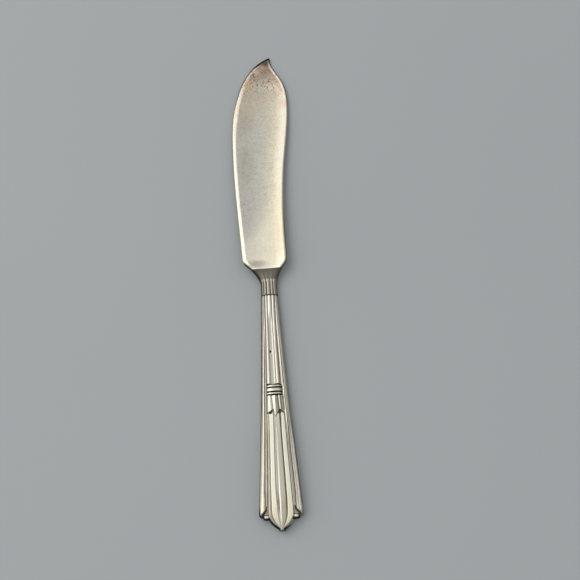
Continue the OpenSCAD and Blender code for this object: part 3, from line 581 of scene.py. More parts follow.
class FrontSkin:
    """The stamped front of the handle on a grid of points: their places, their heights, their wear and their
    painted light.

    A place across is a share of its panel's width from the middle outwards. A mark is 0 where it is not seen
    and 1 where it is full, and the numbers that it is multiplied by say how strong it is.
    """

    # Counts of points down each rounded side and across the underside
    SIDE_POINTS = 10
    UNDER_POINTS = 25
    # Powers that give the ribs and the inner reeds their round
    RIB_ROUND = 0.8
    REED_ROUND = 0.75
    # Share of the outer rib's width that its low reed takes
    REED_PART = 0.43
    # Length of the hollow with the bead at the end of each lobe, in millimetres
    HOLLOW_L = 7.2
    # The small pit above the band: place, half width and half length in millimetres, and strength
    PIT = (-0.62, -27.97, 0.5, 0.5, 1.0)
    # What is left of the band's worn first line: places across and half widths in millimetres
    DASHES = ((-2.2, 0.5), (0.4, 0.35), (2.0, 0.6))

    def __init__(self, form):
        self.form = form
        side, panel, share = handle_columns()
        self.row_y, bend, kind = handle_rows(form).T[:, :, None]
        self.y = self.row_y - bend * form.fringe_reach(panel, share)
        grids = np.broadcast_arrays(panel, share, side < 0, kind.astype(int), self.y)
        self.panel, self.share, self.on_left, self.kind = grids[:4]
        self.rails = np.stack(form.rails(self.y, self.on_left))
        inner, outer = (np.take_along_axis(self.rails, self.panel[None] + k, 0)[0] for k in (0, 1))
        self.half_x = mix(inner, outer, self.share)
        self.x = side * self.half_x
        self.from_side = self.rails[4] - self.half_x
        self.from_butt = self.y - form.butt_y
        self.from_shell = form.shell_y - self.y
        self.below = np.maximum(0, form.notch_y - self.row_y) + np.zeros_like(self.y)
        self.low = form.low_share(self.y)
        self.at_butt = form.butt_share(self.y)
        self.near_notch = (self.kind == PETAL) * fade_out(self.below, 10, 8)
        self.left_rim = mix(0.75, 0.68, self.low)
        self.on_lobe = (self.panel == LOBE) & (self.from_butt >= form.s.lobe_end)
        self.in_hollow = (self.panel >= REED) & ~self.on_lobe & (self.from_butt < self.HOLLOW_L * MM)
        self.cut()
        self.z = self.heights()
        self.hollows = shade_of_hollows(self.z, 9)
        self.lines = self.line_film()
        # Grey on the petal's facets: partly film, partly painted shade
        self.facet = self.part(MIDDLE, PETAL) * clamp(6 * (self.share - 0.1)) * self.sides(1.0, 0.5)
        self.facet = self.facet * mix(1.0, 0.45, self.near_notch)
        # Painted shade on the right flank of the right reed below the band
        self.roof_flank_shade = self.part(RIM, ROOFED, RIGHT) * self.stripe(0.45, 0.14, 1.3)

    def part(self, panel, kind=None, left=None):
        """Whether a point is on a panel, and in a kind of relief and on a side where these are given."""
        inside = self.panel == panel
        if kind is not None:
            inside = inside & (self.kind == kind)
        if left is not None:
            inside = inside & (self.on_left == left)
        return inside

    def sides(self, left, right):
        """One value on the left half and another on the right."""
        return np.where(self.on_left, left, right)

    def by_kind(self, left, right):
        """A value for each kind of relief, in their order, on the left half and on the right."""
        return self.sides(np.choose(self.kind, left), np.choose(self.kind, right))

    def stripe(self, at, half, peak=1.5):
        """A soft stripe along the handle at a share of its panel's width."""
        return clamp(peak - np.abs(self.share - at) / half)

    def whole_share(self):
        """Share of the width of the outer rib before it splits."""
        return np.where(self.panel == REED, self.REED_PART * self.share, mix(self.REED_PART, 1, self.share))

    def cut(self):
        """Shares of the band's lines, the fringe's gap and notches, the folds, the beads and the pit."""
        form, s = self.form, self.form.s
        petal = self.kind == PETAL
        rim_end = clamp(14 * (1 - self.share))
        within = np.select([self.panel == MIDDLE, self.panel == RIM], [1.0, rim_end], 0.0)
        self.groove = form.band_groove(self.row_y) * within
        self.gap = petal * near(self.below, 0.32, 1.4) * within
        notch_x = self.sides(1.6, 1.4) * MM
        off_notch = np.hypot(self.half_x - notch_x, 0.8 * (self.y - form.notch_y) + 0.75 * MM)
        self.notch = petal * near(off_notch, 0.5, 1.5)
        self.fold = np.where(self.from_butt < s.cavity_end, form.fold(self.half_x, self.y), 0)
        bead_u = (np.abs(self.x + 0.15 * MM) - s.bead_x - 0.1 * MM) / (self.sides(1.35, 1.0) * MM)
        bead_v = (self.from_butt - form.bead_e - 0.1 * MM) / (0.55 * MM)
        self.bead = clamp(1 - bead_u**2 - bead_v**2)
        self.pit = spots(self.x, self.y, self.PIT)

    def reeded(self):
        """Relief between the neck and the band: a flute between two reeds."""
        o, f = self.form.o, self.share
        flute = mix(0.6 * o.reed_h, -o.flute_d, fade_in(self.from_shell, 0, 14)) * (1 - f**2)
        lean = self.sides(1.0, mix(1.0, 0.95, fade_in(self.from_shell, 8, 14)))
        return np.where(self.panel == MIDDLE, flute, o.reed_h * hump(f**lean) ** self.REED_ROUND)

    def strap(self):
        """Relief of the smooth strap under the band's lines."""
        return self.form.o.strap_h * clamp(1 - (self.x / self.rails[2]) ** 2) ** 0.7

    def roofed(self):
        """Relief between the band and the fringe: a roofed rib between two reeds."""
        o, f = self.form.o, self.share
        roof = o.roof_h * mix(1.0, self.sides(0.45, 0.0), f)
        reed = o.reed_h * hump(f ** self.sides(1.0, 0.48)) ** self.REED_ROUND
        joined = np.maximum(reed, self.sides(0.4 * o.reed_h * (1 - f), 0.0))
        return np.where(self.panel == MIDDLE, roof, joined)

    def petal(self):
        """Relief of the petal: a fine ridge between two facets, a valley on the right, and broad rims."""
        o, f = self.form.o, self.share
        ridge_w = mix(0.15, 0.24, fade_out(self.from_butt, 14, 8))
        valley = o.valley_d * self.sides(0.25, 1.0)
        valley_start = 0.78
        in_valley = ease((f - valley_start) / (1 - valley_start))
        facet = o.ridge_h * clamp(1 - f / ridge_w) - valley * in_valley
        end = self.sides(self.left_rim, 0.97)
        top_round = 1.2 * MM * (clamp(f / end) - 0.5) ** 2
        begun = clamp((self.below - 0.2 * MM - top_round) / (0.5 * MM))
        rise = ease(f / self.sides(0.12, 0.2))
        fall = ease((end - f) / self.sides(0.12, 0.07))
        bead = self.sides(0.55 * o.rim_h * hump(clamp((f - end) / (1 - end))) ** 0.7, 0.0)
        rim = np.where(f < end, mix(-valley, o.rim_h, rise) * fall, bead)
        rim = rim - o.rim_line_d * clamp(1 - np.abs(f - end) / 0.08)
        return np.where(self.panel == MIDDLE, facet, rim * np.sqrt(begun))

    def outer_ribs(self):
        """Relief of the outer rib, which splits on its way down into a low reed and a lobe."""
        o, f = self.form.o, self.share
        whole = o.reed_h * hump(self.whole_share()) ** self.RIB_ROUND
        pair = hump(2 * f % 1) ** self.RIB_ROUND * np.where(f < 0.5, 1.0, 0.4)
        leaning = 1.25 * hump(f**3.8) ** self.RIB_ROUND
        reed = o.low_reed_h * self.sides(hump(f) ** self.RIB_ROUND, mix(leaning, pair, self.low))
        brow = 0.75
        shoulder = np.sin(0.5 * math.pi * clamp(f / brow)) ** self.RIB_ROUND
        shoulder = shoulder * (1 - 0.25 * clamp((f - brow) / (1 - brow)) ** 2)
        lobe = o.lobe_h * mix(hump(f) ** self.RIB_ROUND, shoulder, self.low)
        lobe = lobe * self.sides(1.0, mix(1.0, 1.75, self.low))
        return mix(whole, np.where(self.panel == REED, reed, lobe), fade_in(self.from_shell, 6, 16))

    def heights(self):
        """Height of each point: the plain front, its ornament and cuts, the lobes' ends and the beads."""
        form, o = self.form, self.form.o
        inner = np.choose(self.kind, [self.reeded(), self.strap(), self.roofed(), self.petal()])
        relief = np.where(self.panel < REED, inner, self.outer_ribs())
        narrow = clamp(form.petal_half(self.y) / (form.LINE_B * form.side_half(self.y)))
        start = self.sides(0.6, 0.88)
        rim_level = 1 - ease((self.share - start) / (1 - start))
        level = np.select([self.part(MIDDLE, PETAL), self.part(RIM, PETAL)], [1.0, rim_level], 0.0)
        z = form.front_base(self.x, self.y)
        flatness = 0.85
        z = z + flatness * level * (form.crown_z(self.y) - z) * narrow
        z = z + mix(relief * narrow, -o.band_d, self.groove)
        z = z - (relief + o.fringe_d) * clamp(self.gap + self.notch) - o.fold_d * self.fold
        lobe_fall = 0.9 * MM
        lobe_round = 1.1 * MM
        z = z - self.on_lobe * lobe_fall * quarter_round((self.from_butt - form.s.lobe_end) / lobe_round)
        bead_low = 0.5 * MM
        bead_h = 0.45 * MM
        bead_z = form.edge_z(self.y) - bead_low + bead_h * np.sqrt(self.bead)
        sunk = mix(z, np.minimum(z, bead_z), fade_out(self.from_butt, self.HOLLOW_L, 2.2))
        z = np.where(self.in_hollow, sunk, z)
        roll_r = mix(mix(0.3, 0.1, self.low), 0.6, self.at_butt) * MM
        z = z - roll_r * quarter_round(self.from_side / roll_r)
        least_side = 0.3 * MM
        pit_d = 0.2 * MM
        return np.maximum(z, form.rim_z + least_side) - pit_d * ease(1.6 * self.pit)

    def line_film(self):
        """Film along the three lines between the panels of each half: partly oxide, partly painted shade."""
        width = self.sides(0.13, mix(0.13, 0.2, self.low))
        wide = self.sides(width, mix(width, 0.36, self.near_notch))
        faint = self.sides(1.0, 1 - 0.6 * self.near_notch)
        a = self.by_kind((0.12, 0.0, 0.0, 0.45), (0.3, 0.0, 0.35, 0.75))
        b = faint * self.by_kind((0.65, 0.65, 0.65, 0.2), (0.8, 0.8, 0.35, 0.5))
        c = faint * self.sides(mix(0.65, 0.9, self.low), np.choose(self.kind, (0.4, 0.65, 0.65, 0.65)))
        film = np.zeros_like(self.y)
        for rail, strength, half in zip(self.rails[1:4], (a, b, c), (wide, width, width)):
            film = np.maximum(film, strength * near(np.abs(self.half_x - rail), half, 1.3))
        return film * clamp((self.from_butt - 6 * MM) / (3 * MM))

    def film(self):
        """Film in the hollows, film and painted shade along the lines, and painted shade on the right flanks
        of the ribs, the right lobe, the facets and the butt's right side.
        """
        low, share, down, e = self.low, self.share, self.from_shell, self.from_butt
        film = clamp(self.hollows / (0.16 * MM)) + 0.6 * clamp(shade_of_hollows(self.z, 4) / (0.05 * MM))
        by_first_line = np.where(self.panel == MIDDLE, share > 0.6, (self.panel == RIM) & (share < 0.3))
        thinned = np.choose(self.kind, (0.45, 1.0, 0.45, 0.3))
        film = np.where(by_first_line & self.on_left, thinned * film, film)
        rim_side = self.part(RIM, PETAL, LEFT) & (np.abs(share - self.left_rim) < 0.14)
        film = np.where(rim_side, 0.35 * film, film)
        lobe_film = 0.3 * film + (0.2 + 0.18 * clamp(5 * (0.45 - share))) * low
        film = np.where(self.part(LOBE, PETAL, LEFT) & self.on_lobe, lobe_film, film)
        left_reed = self.part(REED, None, LEFT) * mix(0.45, 0.65, low) * fade_in(down, 12, 14)
        # Painted shade on the right lobe, the roofed rib's right half, the right reeds and the strap's right
        # end
        right_lobe_shade = np.where(self.kind == PETAL, 0.64, 0.35 * fade_in(down, 10, 14))
        right_lobe_shade = self.part(LOBE, None, RIGHT) * right_lobe_shade * clamp(5 * (0.68 - share))
        lobe_edge_shade = 0.7 * self.part(LOBE, PETAL, RIGHT) * clamp((share - 0.8) / 0.1) * (1 - self.at_butt)
        rim_bead = 0.55 * self.part(RIM, PETAL, LEFT) * low * clamp(12 * (share - 0.7))
        roof = 0.55 * self.part(MIDDLE, ROOFED, RIGHT) * clamp(8 * (share - 0.05))
        roof_reed_shade = 0.4 * self.part(REED, ROOFED, RIGHT)
        strap_end_shade = 0.75 * self.part(RIM, STRAP, RIGHT) * clamp((share - 0.35) / 0.4)
        # Painted shade on the facets, darkest on the right near the butt
        left_facet = mix(0.45, 0.76, fade_out(e, 17, 8)) * fade_in(e, 3, 3)
        facets = clamp(self.facet * self.sides(left_facet, mix(0.4, 1.1, fade_out(e, 16, 10))))
        film = strongest(film, left_reed, right_lobe_shade, lobe_edge_shade, rim_bead, roof, roof_reed_shade, self.roof_flank_shade,
                         strap_end_shade, facets)
        film = np.where(self.in_hollow, 0.25, film)
        # Painted shade on the right side of the butt
        right_side_shade = 0.55 * near(self.from_side, 0.5, 1.6) * self.at_butt * ~self.on_left
        return strongest(film, 1.2 * self.lines, right_side_shade)

    def wear_and_highlight(self):
        """Rubbed plate on the high points and the petal's rims, and painted highlights on the beads and on
        the outer rib and lobe on the left.
        """
        wear_and_highlight = clamp(-self.hollows / (0.12 * MM)) + 1.4 * clamp(2 * self.bead) * self.in_hollow
        rims = clamp(12 * self.share) * clamp(8 * (self.sides(0.72, 0.92) - self.share))
        wear_and_highlight = strongest(wear_and_highlight, self.part(RIM, PETAL) * rims, self.part(LOBE, UPPER, LEFT))
        return np.where(self.on_lobe & self.on_left, mix(wear_and_highlight, 0.25, self.low), wear_and_highlight)

    def painted_highlight(self):
        """Painted highlights on the beads, the ridge, the rims, the crests, the low reed and the ribs by the
        joint, and where they are matt.
        """
        e = self.from_butt
        rims = self.part(RIM, PETAL) * self.stripe(self.sides(0.22, 0.82), 0.14) * (e > 7 * MM)
        crest = self.part(LOBE, PETAL, RIGHT) * self.stripe(0.66, 0.13) * (e >= 6 * MM)
        up = fade_in(e, 12, 8)
        ridge_at = self.sides(mix(0.02, -0.04, up), mix(-0.03, 0.03, up))
        ridge = self.part(MIDDLE, PETAL) * self.stripe(ridge_at, self.sides(mix(0.17, 0.1, up), 0.12))
        ridge = ridge * (1 - 0.7 * self.near_notch) * mix(1.0, 0.75, up)
        at_joint = fade_out(self.from_shell, 14, 10)
        outer = clamp(1.4 - np.abs(self.whole_share() - self.sides(0.7, 0.5)) / 0.3) * (self.panel >= REED)
        second = self.part(RIM, UPPER, LEFT) * self.stripe(0.5, 0.3, 1.4)
        glints = at_joint * np.maximum(0.8 * outer, 0.6 * second)
        low_reed = 0.5 * self.part(REED, PETAL, RIGHT) * self.stripe(0.27, 0.14)
        beads = clamp(2.5 * self.bead) * self.in_hollow
        matt = np.maximum(crest, rims * ~self.on_left) * self.low
        return strongest(beads, ridge, crest, rims, glints, low_reed), matt

    def black(self):
        """Black oxide in the cut lines and at the seam, painted shadow round the beads, and black along the
        sides, partly tarnish and partly painted shade.
        """
        form, e = self.form, self.from_butt
        dashes = strongest(*(clamp(1.5 - np.abs(self.x / MM - at) / half) for at, half in self.DASHES))
        on_first = np.abs(self.row_y - form.band_ys[0]) < form.o.band_line
        band = clamp(4 * self.groove - 0.3) * np.where(on_first, mix(0.5, 1.0, dashes), 1.0)
        # Black along the sides, partly tarnish and partly painted shade, heaviest round the butt
        left_side_shade = mix(0.15 * (1 - self.low), 1.0, self.at_butt)
        right_side_shade = mix(0.45 * (1 - self.low), mix(0.1, 1.0, fade_out(e, 1.6, 1.2)), self.at_butt)
        side = near(self.from_side, mix(0.18, 0.3, self.at_butt), 1.6) * self.sides(left_side_shade, right_side_shade)
        # Painted shadow round the beads
        bead_shadow = clamp((5.3 * MM - e) / (0.5 * MM)) * clamp(1 - 2.2 * self.bead) * self.in_hollow
        bead_shadow = bead_shadow * (self.on_left | (e > 3.4 * MM))
        seam = near(self.from_shell, 0.22, 1.5)
        return strongest(band, self.gap, self.sides(0.75, 0.55) * self.notch, self.fold, 2.2 * self.pit, seam,
                         side, 0.4 * self.lines, bead_shadow, 0.3 * self.roof_flank_shade)

    def skin(self):
        """Rings of points round the shell, and the marks at each point."""
        form, y = self.form, self.row_y
        w = form.top_half(y)
        down = np.linspace(0, 1, self.SIDE_POINTS + 1)[None, 1:] * np.ones_like(y)
        side_x = w + form.flare_at(y) * np.sin(0.5 * math.pi * down)
        side_z = mix(form.rim_z, self.z[:, -1:], np.cos(0.5 * math.pi * down))
        across = np.linspace(1, -1, self.UNDER_POINTS)[None, :]
        lip = form.cavity_half(y, w)
        under_x = lip * across * np.where(form.open_rows(y), 1.0, CLOSED)
        under_z = np.where(form.open_rows(y), form.cavity_z(across, y), form.rim_z)
        rings = np.concatenate([points(-side_x[:, ::-1], y, side_z[:, ::-1]), points(self.x, self.y, self.z),
                                points(side_x, y, side_z), points(lip, y, form.rim_z),
                                points(under_x, y, under_z), points(-lip, y, form.rim_z)], axis=1)
        painted_highlight, matt = self.painted_highlight()
        # The cut mark holds black oxide and painted shade; the hollow mark holds film and painted shade
        marks = {"hollow": self.film(), "wear_and_highlight": self.wear_and_highlight(), "cut": self.black(), "painted_highlight": painted_highlight,
                 "facet": self.facet, "matt": matt}
        none = np.zeros_like(down)
        inside = np.zeros((len(y), rings.shape[1] - self.x.shape[1] - 2 * down.shape[1]))
        edges = self.side_marks(down)
        for name, values in marks.items():
            left, right = edges.get(name, (none, none))
            marks[name] = np.concatenate([left[:, ::-1], clamp(values), right, inside], axis=1)
        return rings, marks

    def side_marks(self, down):
        """Film and black on the rounded left and right sides, by the share of the way down to the seam:
        partly tarnish, partly painted shade, with painted shadow under the butt.
        """
        form, y = self.form, self.row_y
        low, at_butt = form.low_share(y), form.butt_share(y)
        seam = 0.9 * clamp((down - 0.05) / 0.2)
        left_black = mix(mix(mix(0.2, 0.8, down), seam, low), 1.0, at_butt)
        right_butt_shade = mix(mix(0.05, 0.3, down), 1.0, form.under_butt(y))
        right_black = mix(mix(mix(0.05, 0.75, down**2), seam, low), right_butt_shade, at_butt)
        left_film = mix(0.9, 0.5, low) * np.ones_like(down)
        right_film = mix(mix(mix(0.4, 0.75, down), 0.5, low), 0.55, at_butt)
        return {"hollow": (left_film, right_film), "cut": (left_black, right_black)}


def back_skin(form):
    """The plain back of the handle: rings of points from the seam round the flat to the seam, and marks."""
    y = handle_rows(form)[:, :1]
    low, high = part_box("handle_back")
    w = form.seam_half(y)
    corner = np.radians(np.linspace(0, 90, 9))[None, :]
    round_x = np.minimum(1, 0.5 * w / form.s.back_r) * form.s.back_r
    corner_x = w - round_x * (1 - np.cos(corner))
    corner_z = low.z + form.s.back_r * (1 - np.sin(corner))
    flat_x = (w - round_x) * np.linspace(0.8, -0.8, 9)[None, :]
    lip = form.cavity_half(y, w)
    floor_x = lip * np.where(form.open_rows(y), 1.0, CLOSED)
    floor_z = np.where(form.open_rows(y), low.z + form.s.shell_t, high.z)
    rings = np.concatenate([points(w, y, high.z), points(corner_x, y, corner_z), points(flat_x, y, low.z),
                            points(-corner_x[:, ::-1], y, corner_z[:, ::-1]), points(-w, y, high.z),
                            points(-lip, y, high.z), points(-floor_x, y, floor_z),
                            points(floor_x, y, floor_z), points(lip, y, high.z)], axis=1)
    edge = clamp((rings[..., 2] - low.z) / (high.z - low.z))
    # Painted shade on the back's sides round the butt, under the point and the beads
    shade = np.where(rings[..., 0] < 0, 0.95, mix(0.3, 0.95, form.under_butt(y)))
    return rings, {"edge": edge, "shade": form.butt_share(y) * shade * clamp(3 * edge)}


class BladeForm:
    """Outline and surfaces of the blade and neck at arrays of places."""

    TIP_HALF = 0.5 * MM
    # Lines between the neck's ribs, as shares of the ribs' half width
    RIB_LINES = (-1.0, -0.74, -0.34, 0.2, 0.62, 1.0)

    def __init__(self, sizes):
        self.s = sizes
        self.neck_side = sizes.neck_half + sizes.neck_flare
        self.rib_share = sizes.neck_half / self.neck_side
        self.side_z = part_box("handle_front")[0].z
        low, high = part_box("blade")
        self.tip_y = high.y
        self.tang_y = low.y
        self.joint_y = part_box("neck_solder")[1].y
        self.heel_y = self.joint_y + sizes.neck_l
        self.crease_y = self.heel_y - 3.25 * MM

    def left_edge(self, y):
        """Place of the spreading edge."""
        s = self.s
        return curve([[self.joint_y, -self.neck_side, 0], [self.joint_y + 5 * MM, -self.neck_side, -0.1],
                      [self.heel_y - 4 * MM, -0.6 * s.heel_left, -0.85],
                      [self.heel_y - 1.6 * MM, -0.89 * s.heel_left, -0.7],
                      [self.heel_y + 0.8 * MM, -s.heel_left, -0.05],
                      [self.heel_y + s.belly_from_heel, -s.belly_reach, 0],
                      [self.tip_y - 19 * MM, -0.83 * s.belly_reach, 0.245],
                      [self.tip_y - 7 * MM, s.tip_x - 8.3 * MM, 0.66],
                      [self.tip_y, s.tip_x - self.TIP_HALF, 2]], y)

    def right_edge(self, y):
        """Place of the back edge."""
        s = self.s
        return curve([[self.joint_y, self.neck_side, 0], [self.joint_y + 5 * MM, self.neck_side, 0.1],
                      [self.heel_y - 4 * MM, 0.64 * s.heel_right, 0.7],
                      [self.heel_y - 1.6 * MM, 0.92 * s.heel_right, 0.6],
                      [self.heel_y + 0.4 * MM, s.heel_right, 0],
                      [self.heel_y + 12.5 * MM, s.waist_reach, 0],
                      [self.heel_y + 37.5 * MM, mix(s.waist_reach, s.shoulder_reach, 0.33), 0.105],
                      [self.tip_y - s.shoulder_from_tip, s.shoulder_reach, 0],
                      [self.tip_y - 9 * MM, s.tip_x + 3.95 * MM, -0.5],
                      [self.tip_y - 4 * MM, s.tip_x + 1.3 * MM, -0.42],
                      [self.tip_y, s.tip_x + self.TIP_HALF, 0]], y)

    def gap(self, edge, x, y):
        """Distance of each point from an edge, square to it."""
        step = 0.05 * MM
        slope = (edge(y + step) - edge(y - step)) / (2 * step)
        return np.abs(x - edge(y)) / np.sqrt(1 + slope**2)

    def under_z(self, y):
        """Height of the underside's middle."""
        s = self.s
        return curve([[self.joint_y, s.neck_bottom_z, 0.1], [self.crease_y + 1.5 * MM, s.heel_z, 0.12],
                      [self.heel_y + 6 * MM, s.heel_z - 0.2 * MM, -0.045],
                      [self.tip_y, 0, -s.heel_z / (self.tip_y - self.heel_y)]], y)

    def face_z(self, y):
        """Height of the upper face's middle."""
        along = clamp((y - self.heel_y) / (self.tip_y - self.heel_y))
        return self.under_z(np.maximum(y, self.crease_y)) + mix(self.s.heel_t, self.s.tip_t, along)

    def neck_z(self, y):
        """Height of the neck's top."""
        return self.s.neck_top_z - 0.2 * MM * clamp((y - self.joint_y) / (5 * MM))

    def face_share(self, y):
        """0 on the neck and 1 on the face, with a sharp crease where the cove meets the face."""
        start = self.joint_y + 4.6 * MM
        return clamp((y - start) / (self.crease_y - start)) ** 1.9

    def rib_round(self, t):
        """Round of the neck's five ribs, 0 in the lines between them and 1 on their crests."""
        relief = np.zeros_like(t)
        for start, end in zip(self.RIB_LINES[:-1], self.RIB_LINES[1:]):
            f = clamp((t / self.rib_share - start) / (end - start))
            relief = np.maximum(relief, hump(f) ** 0.7)
        return relief

    def neck_ribs(self, t, y, share):
        """Five ribs on the neck's rounded back, which die away as their share falls, and its sides."""
        fall = 0.6 * MM
        out = clamp((np.abs(t) - self.rib_share) / (1 - self.rib_share))
        side = (self.neck_z(y) - fall - self.side_z) * (1 - np.sqrt(1 - out**2))
        back = fall * np.minimum(1, np.abs(t) / self.rib_share) ** 4
        return self.s.neck_rib_h * self.rib_round(t) * share - back - side


def blade_rows(form):
    """Places along the neck and blade, closer together at the heel and the tip."""
    heel_end = form.heel_y + 3 * MM
    tip_l = 10 * MM
    return np.concatenate([np.linspace(form.joint_y, form.crease_y - 0.04 * MM, 75),
                           np.linspace(form.crease_y, heel_end, 52),
                           np.linspace(heel_end, form.tip_y - tip_l, 150)[1:],
                           form.tip_y - tip_l * np.linspace(1, 0, 90)[1:] ** 1.6])


class BladeSkin:
    """The blade, its heel and the fluted neck on a grid of points: their places, heights, wear and painted
    light.

    A place across, t, runs from -1 at the spreading edge to 1 at the back edge. A mark is 0 where it is not
    seen and 1 where it is full.
    """

    COLUMNS = 131
    # Pits near the tip: place and reach in millimetres
    PITS = ((-0.13, 77.8, 0.42), (1.96, 78.65, 0.36), (4.11, 79.11, 0.36), (-1.49, 82.44, 0.36),
            (3.5, 76.57, 0.26), (-1.25, 81.44, 0.26), (0.6, 80.2, 0.2), (2.9, 80.6, 0.2), (5.4, 77.7, 0.22),
            (1.1, 76.3, 0.2), (2.3, 81.9, 0.18), (4.6, 80.9, 0.18), (-2.3, 80.1, 0.22), (-0.6, 79.4, 0.22),
            (0.9, 78.9, 0.18), (3.1, 78.2, 0.24), (4.9, 78.4, 0.2), (2.6, 77.2, 0.22), (-0.3, 76.2, 0.18),
            (1.7, 75.4, 0.18), (3.9, 75.2, 0.2), (0.2, 81.9, 0.22), (1.4, 83.1, 0.18), (5.8, 76.2, 0.2),
            (2.2, 79.6, 0.18), (-2.9, 78.2, 0.18), (3.6, 77.3, 0.2), (0.4, 84.2, 0.16))
    PIT_SPREAD = 1.2
    # Soft spots of wear, and of painted shade in the clouds along the left: place, half width and half length
    # in millimetres, and strength
    GOLD = ((-3.6, 79.1, 2.6, 2.6, 1.0), (-5.4, 76.2, 2.2, 2.2, 1.0), (-6.0, 68.0, 12.0, 12.0, 0.3))
    BLUSH = ((-0.4, 83.4, 2.2, 2.2, 1.0), (8.0, 74.1, 2.2, 2.2, 1.0), (1.6, 85.0, 2.0, 2.0, 0.4),
             (8.9, 68.8, 2.6, 2.6, 1.0))
    LILAC = ((-5.7, 30.0, 4.09, 9.0, 1.0), (-5.8, 20.0, 3.64, 8.0, 1.0))
    SHADE_CLOUDS = ((-5.2, 62.0, 5.0, 9.0, 1.0), (-5.4, 44.0, 5.0, 13.0, 1.0))
    # Middle of the dark hook at the tip
    HOOK = (3.4 * MM, 87.4 * MM)
    # Marks that the underside has as well
    BOTH_FACES = ("edge_gap", "wall")

    def __init__(self, form):
        self.form = form
        y = blade_rows(form)[:, None]
        t = -np.cos(np.linspace(0, math.pi, self.COLUMNS))[None, :]
        self.x = mix(form.left_edge(y), form.right_edge(y), (t + 1) / 2)
        self.left_gap = form.gap(form.left_edge, self.x, y)
        self.right_gap = form.gap(form.right_edge, self.x, y)
        self.y, self.t = np.broadcast_arrays(y, t)
        self.to_tip = form.tip_y - self.y
        self.from_joint = self.y - form.joint_y
        self.from_heel = self.y - form.heel_y
        self.from_crease = self.y - form.crease_y
        self.face = self.from_crease >= -0.01 * MM
        self.on_face = form.face_share(self.y)
        self.near_tip = fade_out(self.to_tip, 24, 10)
        self.near_heel = fade_out(self.from_heel, 2, 4)
        self.bevel_w = form.s.bevel_w * mix(1.12, 1.45, fade_out(self.to_tip, 36, 12))
        self.bevel_end = fade_in(self.to_tip, 8, 4)
        pits = [(*pit, pit[2], 1.0) for pit in self.PITS * np.array([1, 1, self.PIT_SPREAD])]
        self.pits = spots(self.x, self.y, *pits)
        self.fade = clamp(self.to_tip / (14 * MM))
        self.upper = self.upper_z()
        self.lower = self.lower_z()
        # Painted highlight along the bevel, strongest near the tip
        white = mix(0.15, 0.85, self.near_tip) * clamp(1.6 - self.left_gap / (0.7 * self.bevel_w))
        self.bevel_highlight = white * self.face * self.bevel_end

    def upper_z(self):
        """Height of the neck's ribs and the face, with its hollow, its bevel and its rounded edges."""
        form, s, y, t = self.form, self.form.s, self.y, self.t
        hollow = s.face_hollow * (1 - np.abs(t) ** np.where(t < 0, 2.0, 2.6)) * self.fade
        bevel = s.bevel_d * clamp(1 - self.left_gap / self.bevel_w) * mix(0.35, 1, self.fade)
        tilt = 0.08 * MM
        face = form.face_z(y) - hollow - bevel + tilt * t * self.fade
        ribbed = 1 - mix(fade_in(self.from_joint, 4.4, 2), fade_in(self.from_joint, 5, 4.5), 0.3)
        upper = mix(form.neck_z(y) + form.neck_ribs(t, y, ribbed), face, self.on_face)
        right_r = np.minimum(s.edge_round, 0.6 * (form.face_z(y) - form.under_z(y)))
        left_r = 0.18 * MM
        rounded = right_r * quarter_round(self.right_gap / right_r)
        rounded = rounded + left_r * quarter_round(self.left_gap / left_r)
        pit_d = 0.1 * MM
        return upper - self.on_face * rounded - pit_d * ease(1.5 * self.pits)

    def lower_z(self):
        """Height of the underside, which never comes nearer to the upper side than the least thickness."""
        least = 0.25 * MM
        round_r = 0.25 * MM
        neck_rise = 0.9 * MM
        blade_rise = 0.15 * MM * self.fade
        lower = self.form.under_z(self.y) + mix(neck_rise, blade_rise, self.on_face) * self.t**4
        rounded = round_r * (quarter_round(self.right_gap / round_r) + quarter_round(self.left_gap / round_r))
        lower = lower + self.on_face * rounded * clamp(self.to_tip / (3 * MM) + 0.3)
        return np.maximum(np.minimum(lower, self.upper - least), 0)

    def wall(self):
        """Black at the seam, dark edges along the left and round the hooked tip, and painted shade on the
        rounded right edge, the heel's walls and the cove's corner.
        """
        left, right, to_tip = self.left_gap, self.right_gap, self.to_tip
        seam = near(self.from_joint, 0.2, 1.4)
        mid_right = fade_in(self.y, 16, 14) * (1 - self.near_tip)
        # Painted shade on the rounded right edge
        right_edge_shade = near(right, 0.25, 1.7) * mix(mix(0.85, 0.45, mid_right), 0.35, self.near_heel)
        cap = near(left, mix(0.25, 0.95, fade_out(to_tip, 6, 5)), 1.8) * fade_out(to_tip, 9, 4)
        tip = clamp((1.5 * MM - to_tip) / (0.7 * MM))
        hook = 0.6 * near(np.hypot(self.x - self.HOOK[0], self.y - self.HOOK[1]), 1.5, 1.6)
        left_tip = near(left, 0.2, 2.0) * self.near_tip
        # Painted shade on the heel's left wall and in the cove's left corner
        left_heel_shade = 0.5 * near(left, 0.2, 1.5) * self.near_heel
        left_cove_shade = 0.85 * near(left, 0.4, 1.8) * fade_out(self.from_heel, -0.4, 1)
        left_long = 0.7 * near(left, 0.15, 1.5) * (1 - self.near_heel)
        return strongest(seam, right_edge_shade, cap, tip, hook, left_tip, left_heel_shade, left_cove_shade, left_long)

    def film(self):
        """Painted shade in the cove above the neck and at the heel's corners, and grey film, partly painted
        shade, between the neck's ribs and on its sides.
        """
        neck = ~self.face
        ribs = clamp(shade_of_hollows(self.upper, 3) / (0.03 * MM)) * neck
        streaks = 1 - 0.1 * self.form.rib_round(self.t) * clamp(-self.from_crease / (4 * MM))
        cove = neck * clamp(9 * self.on_face) * streaks
        sides = 0.6 * neck * ease((np.abs(self.t) - self.form.rib_share) / 0.05)
        corners = np.maximum(near(self.right_gap, 0.45, 1.6), near(self.left_gap, 0.3, 1.4))
        return clamp(0.8 * ribs + strongest(cove, 0.45 * neck, sides, 0.8 * corners * self.near_heel))

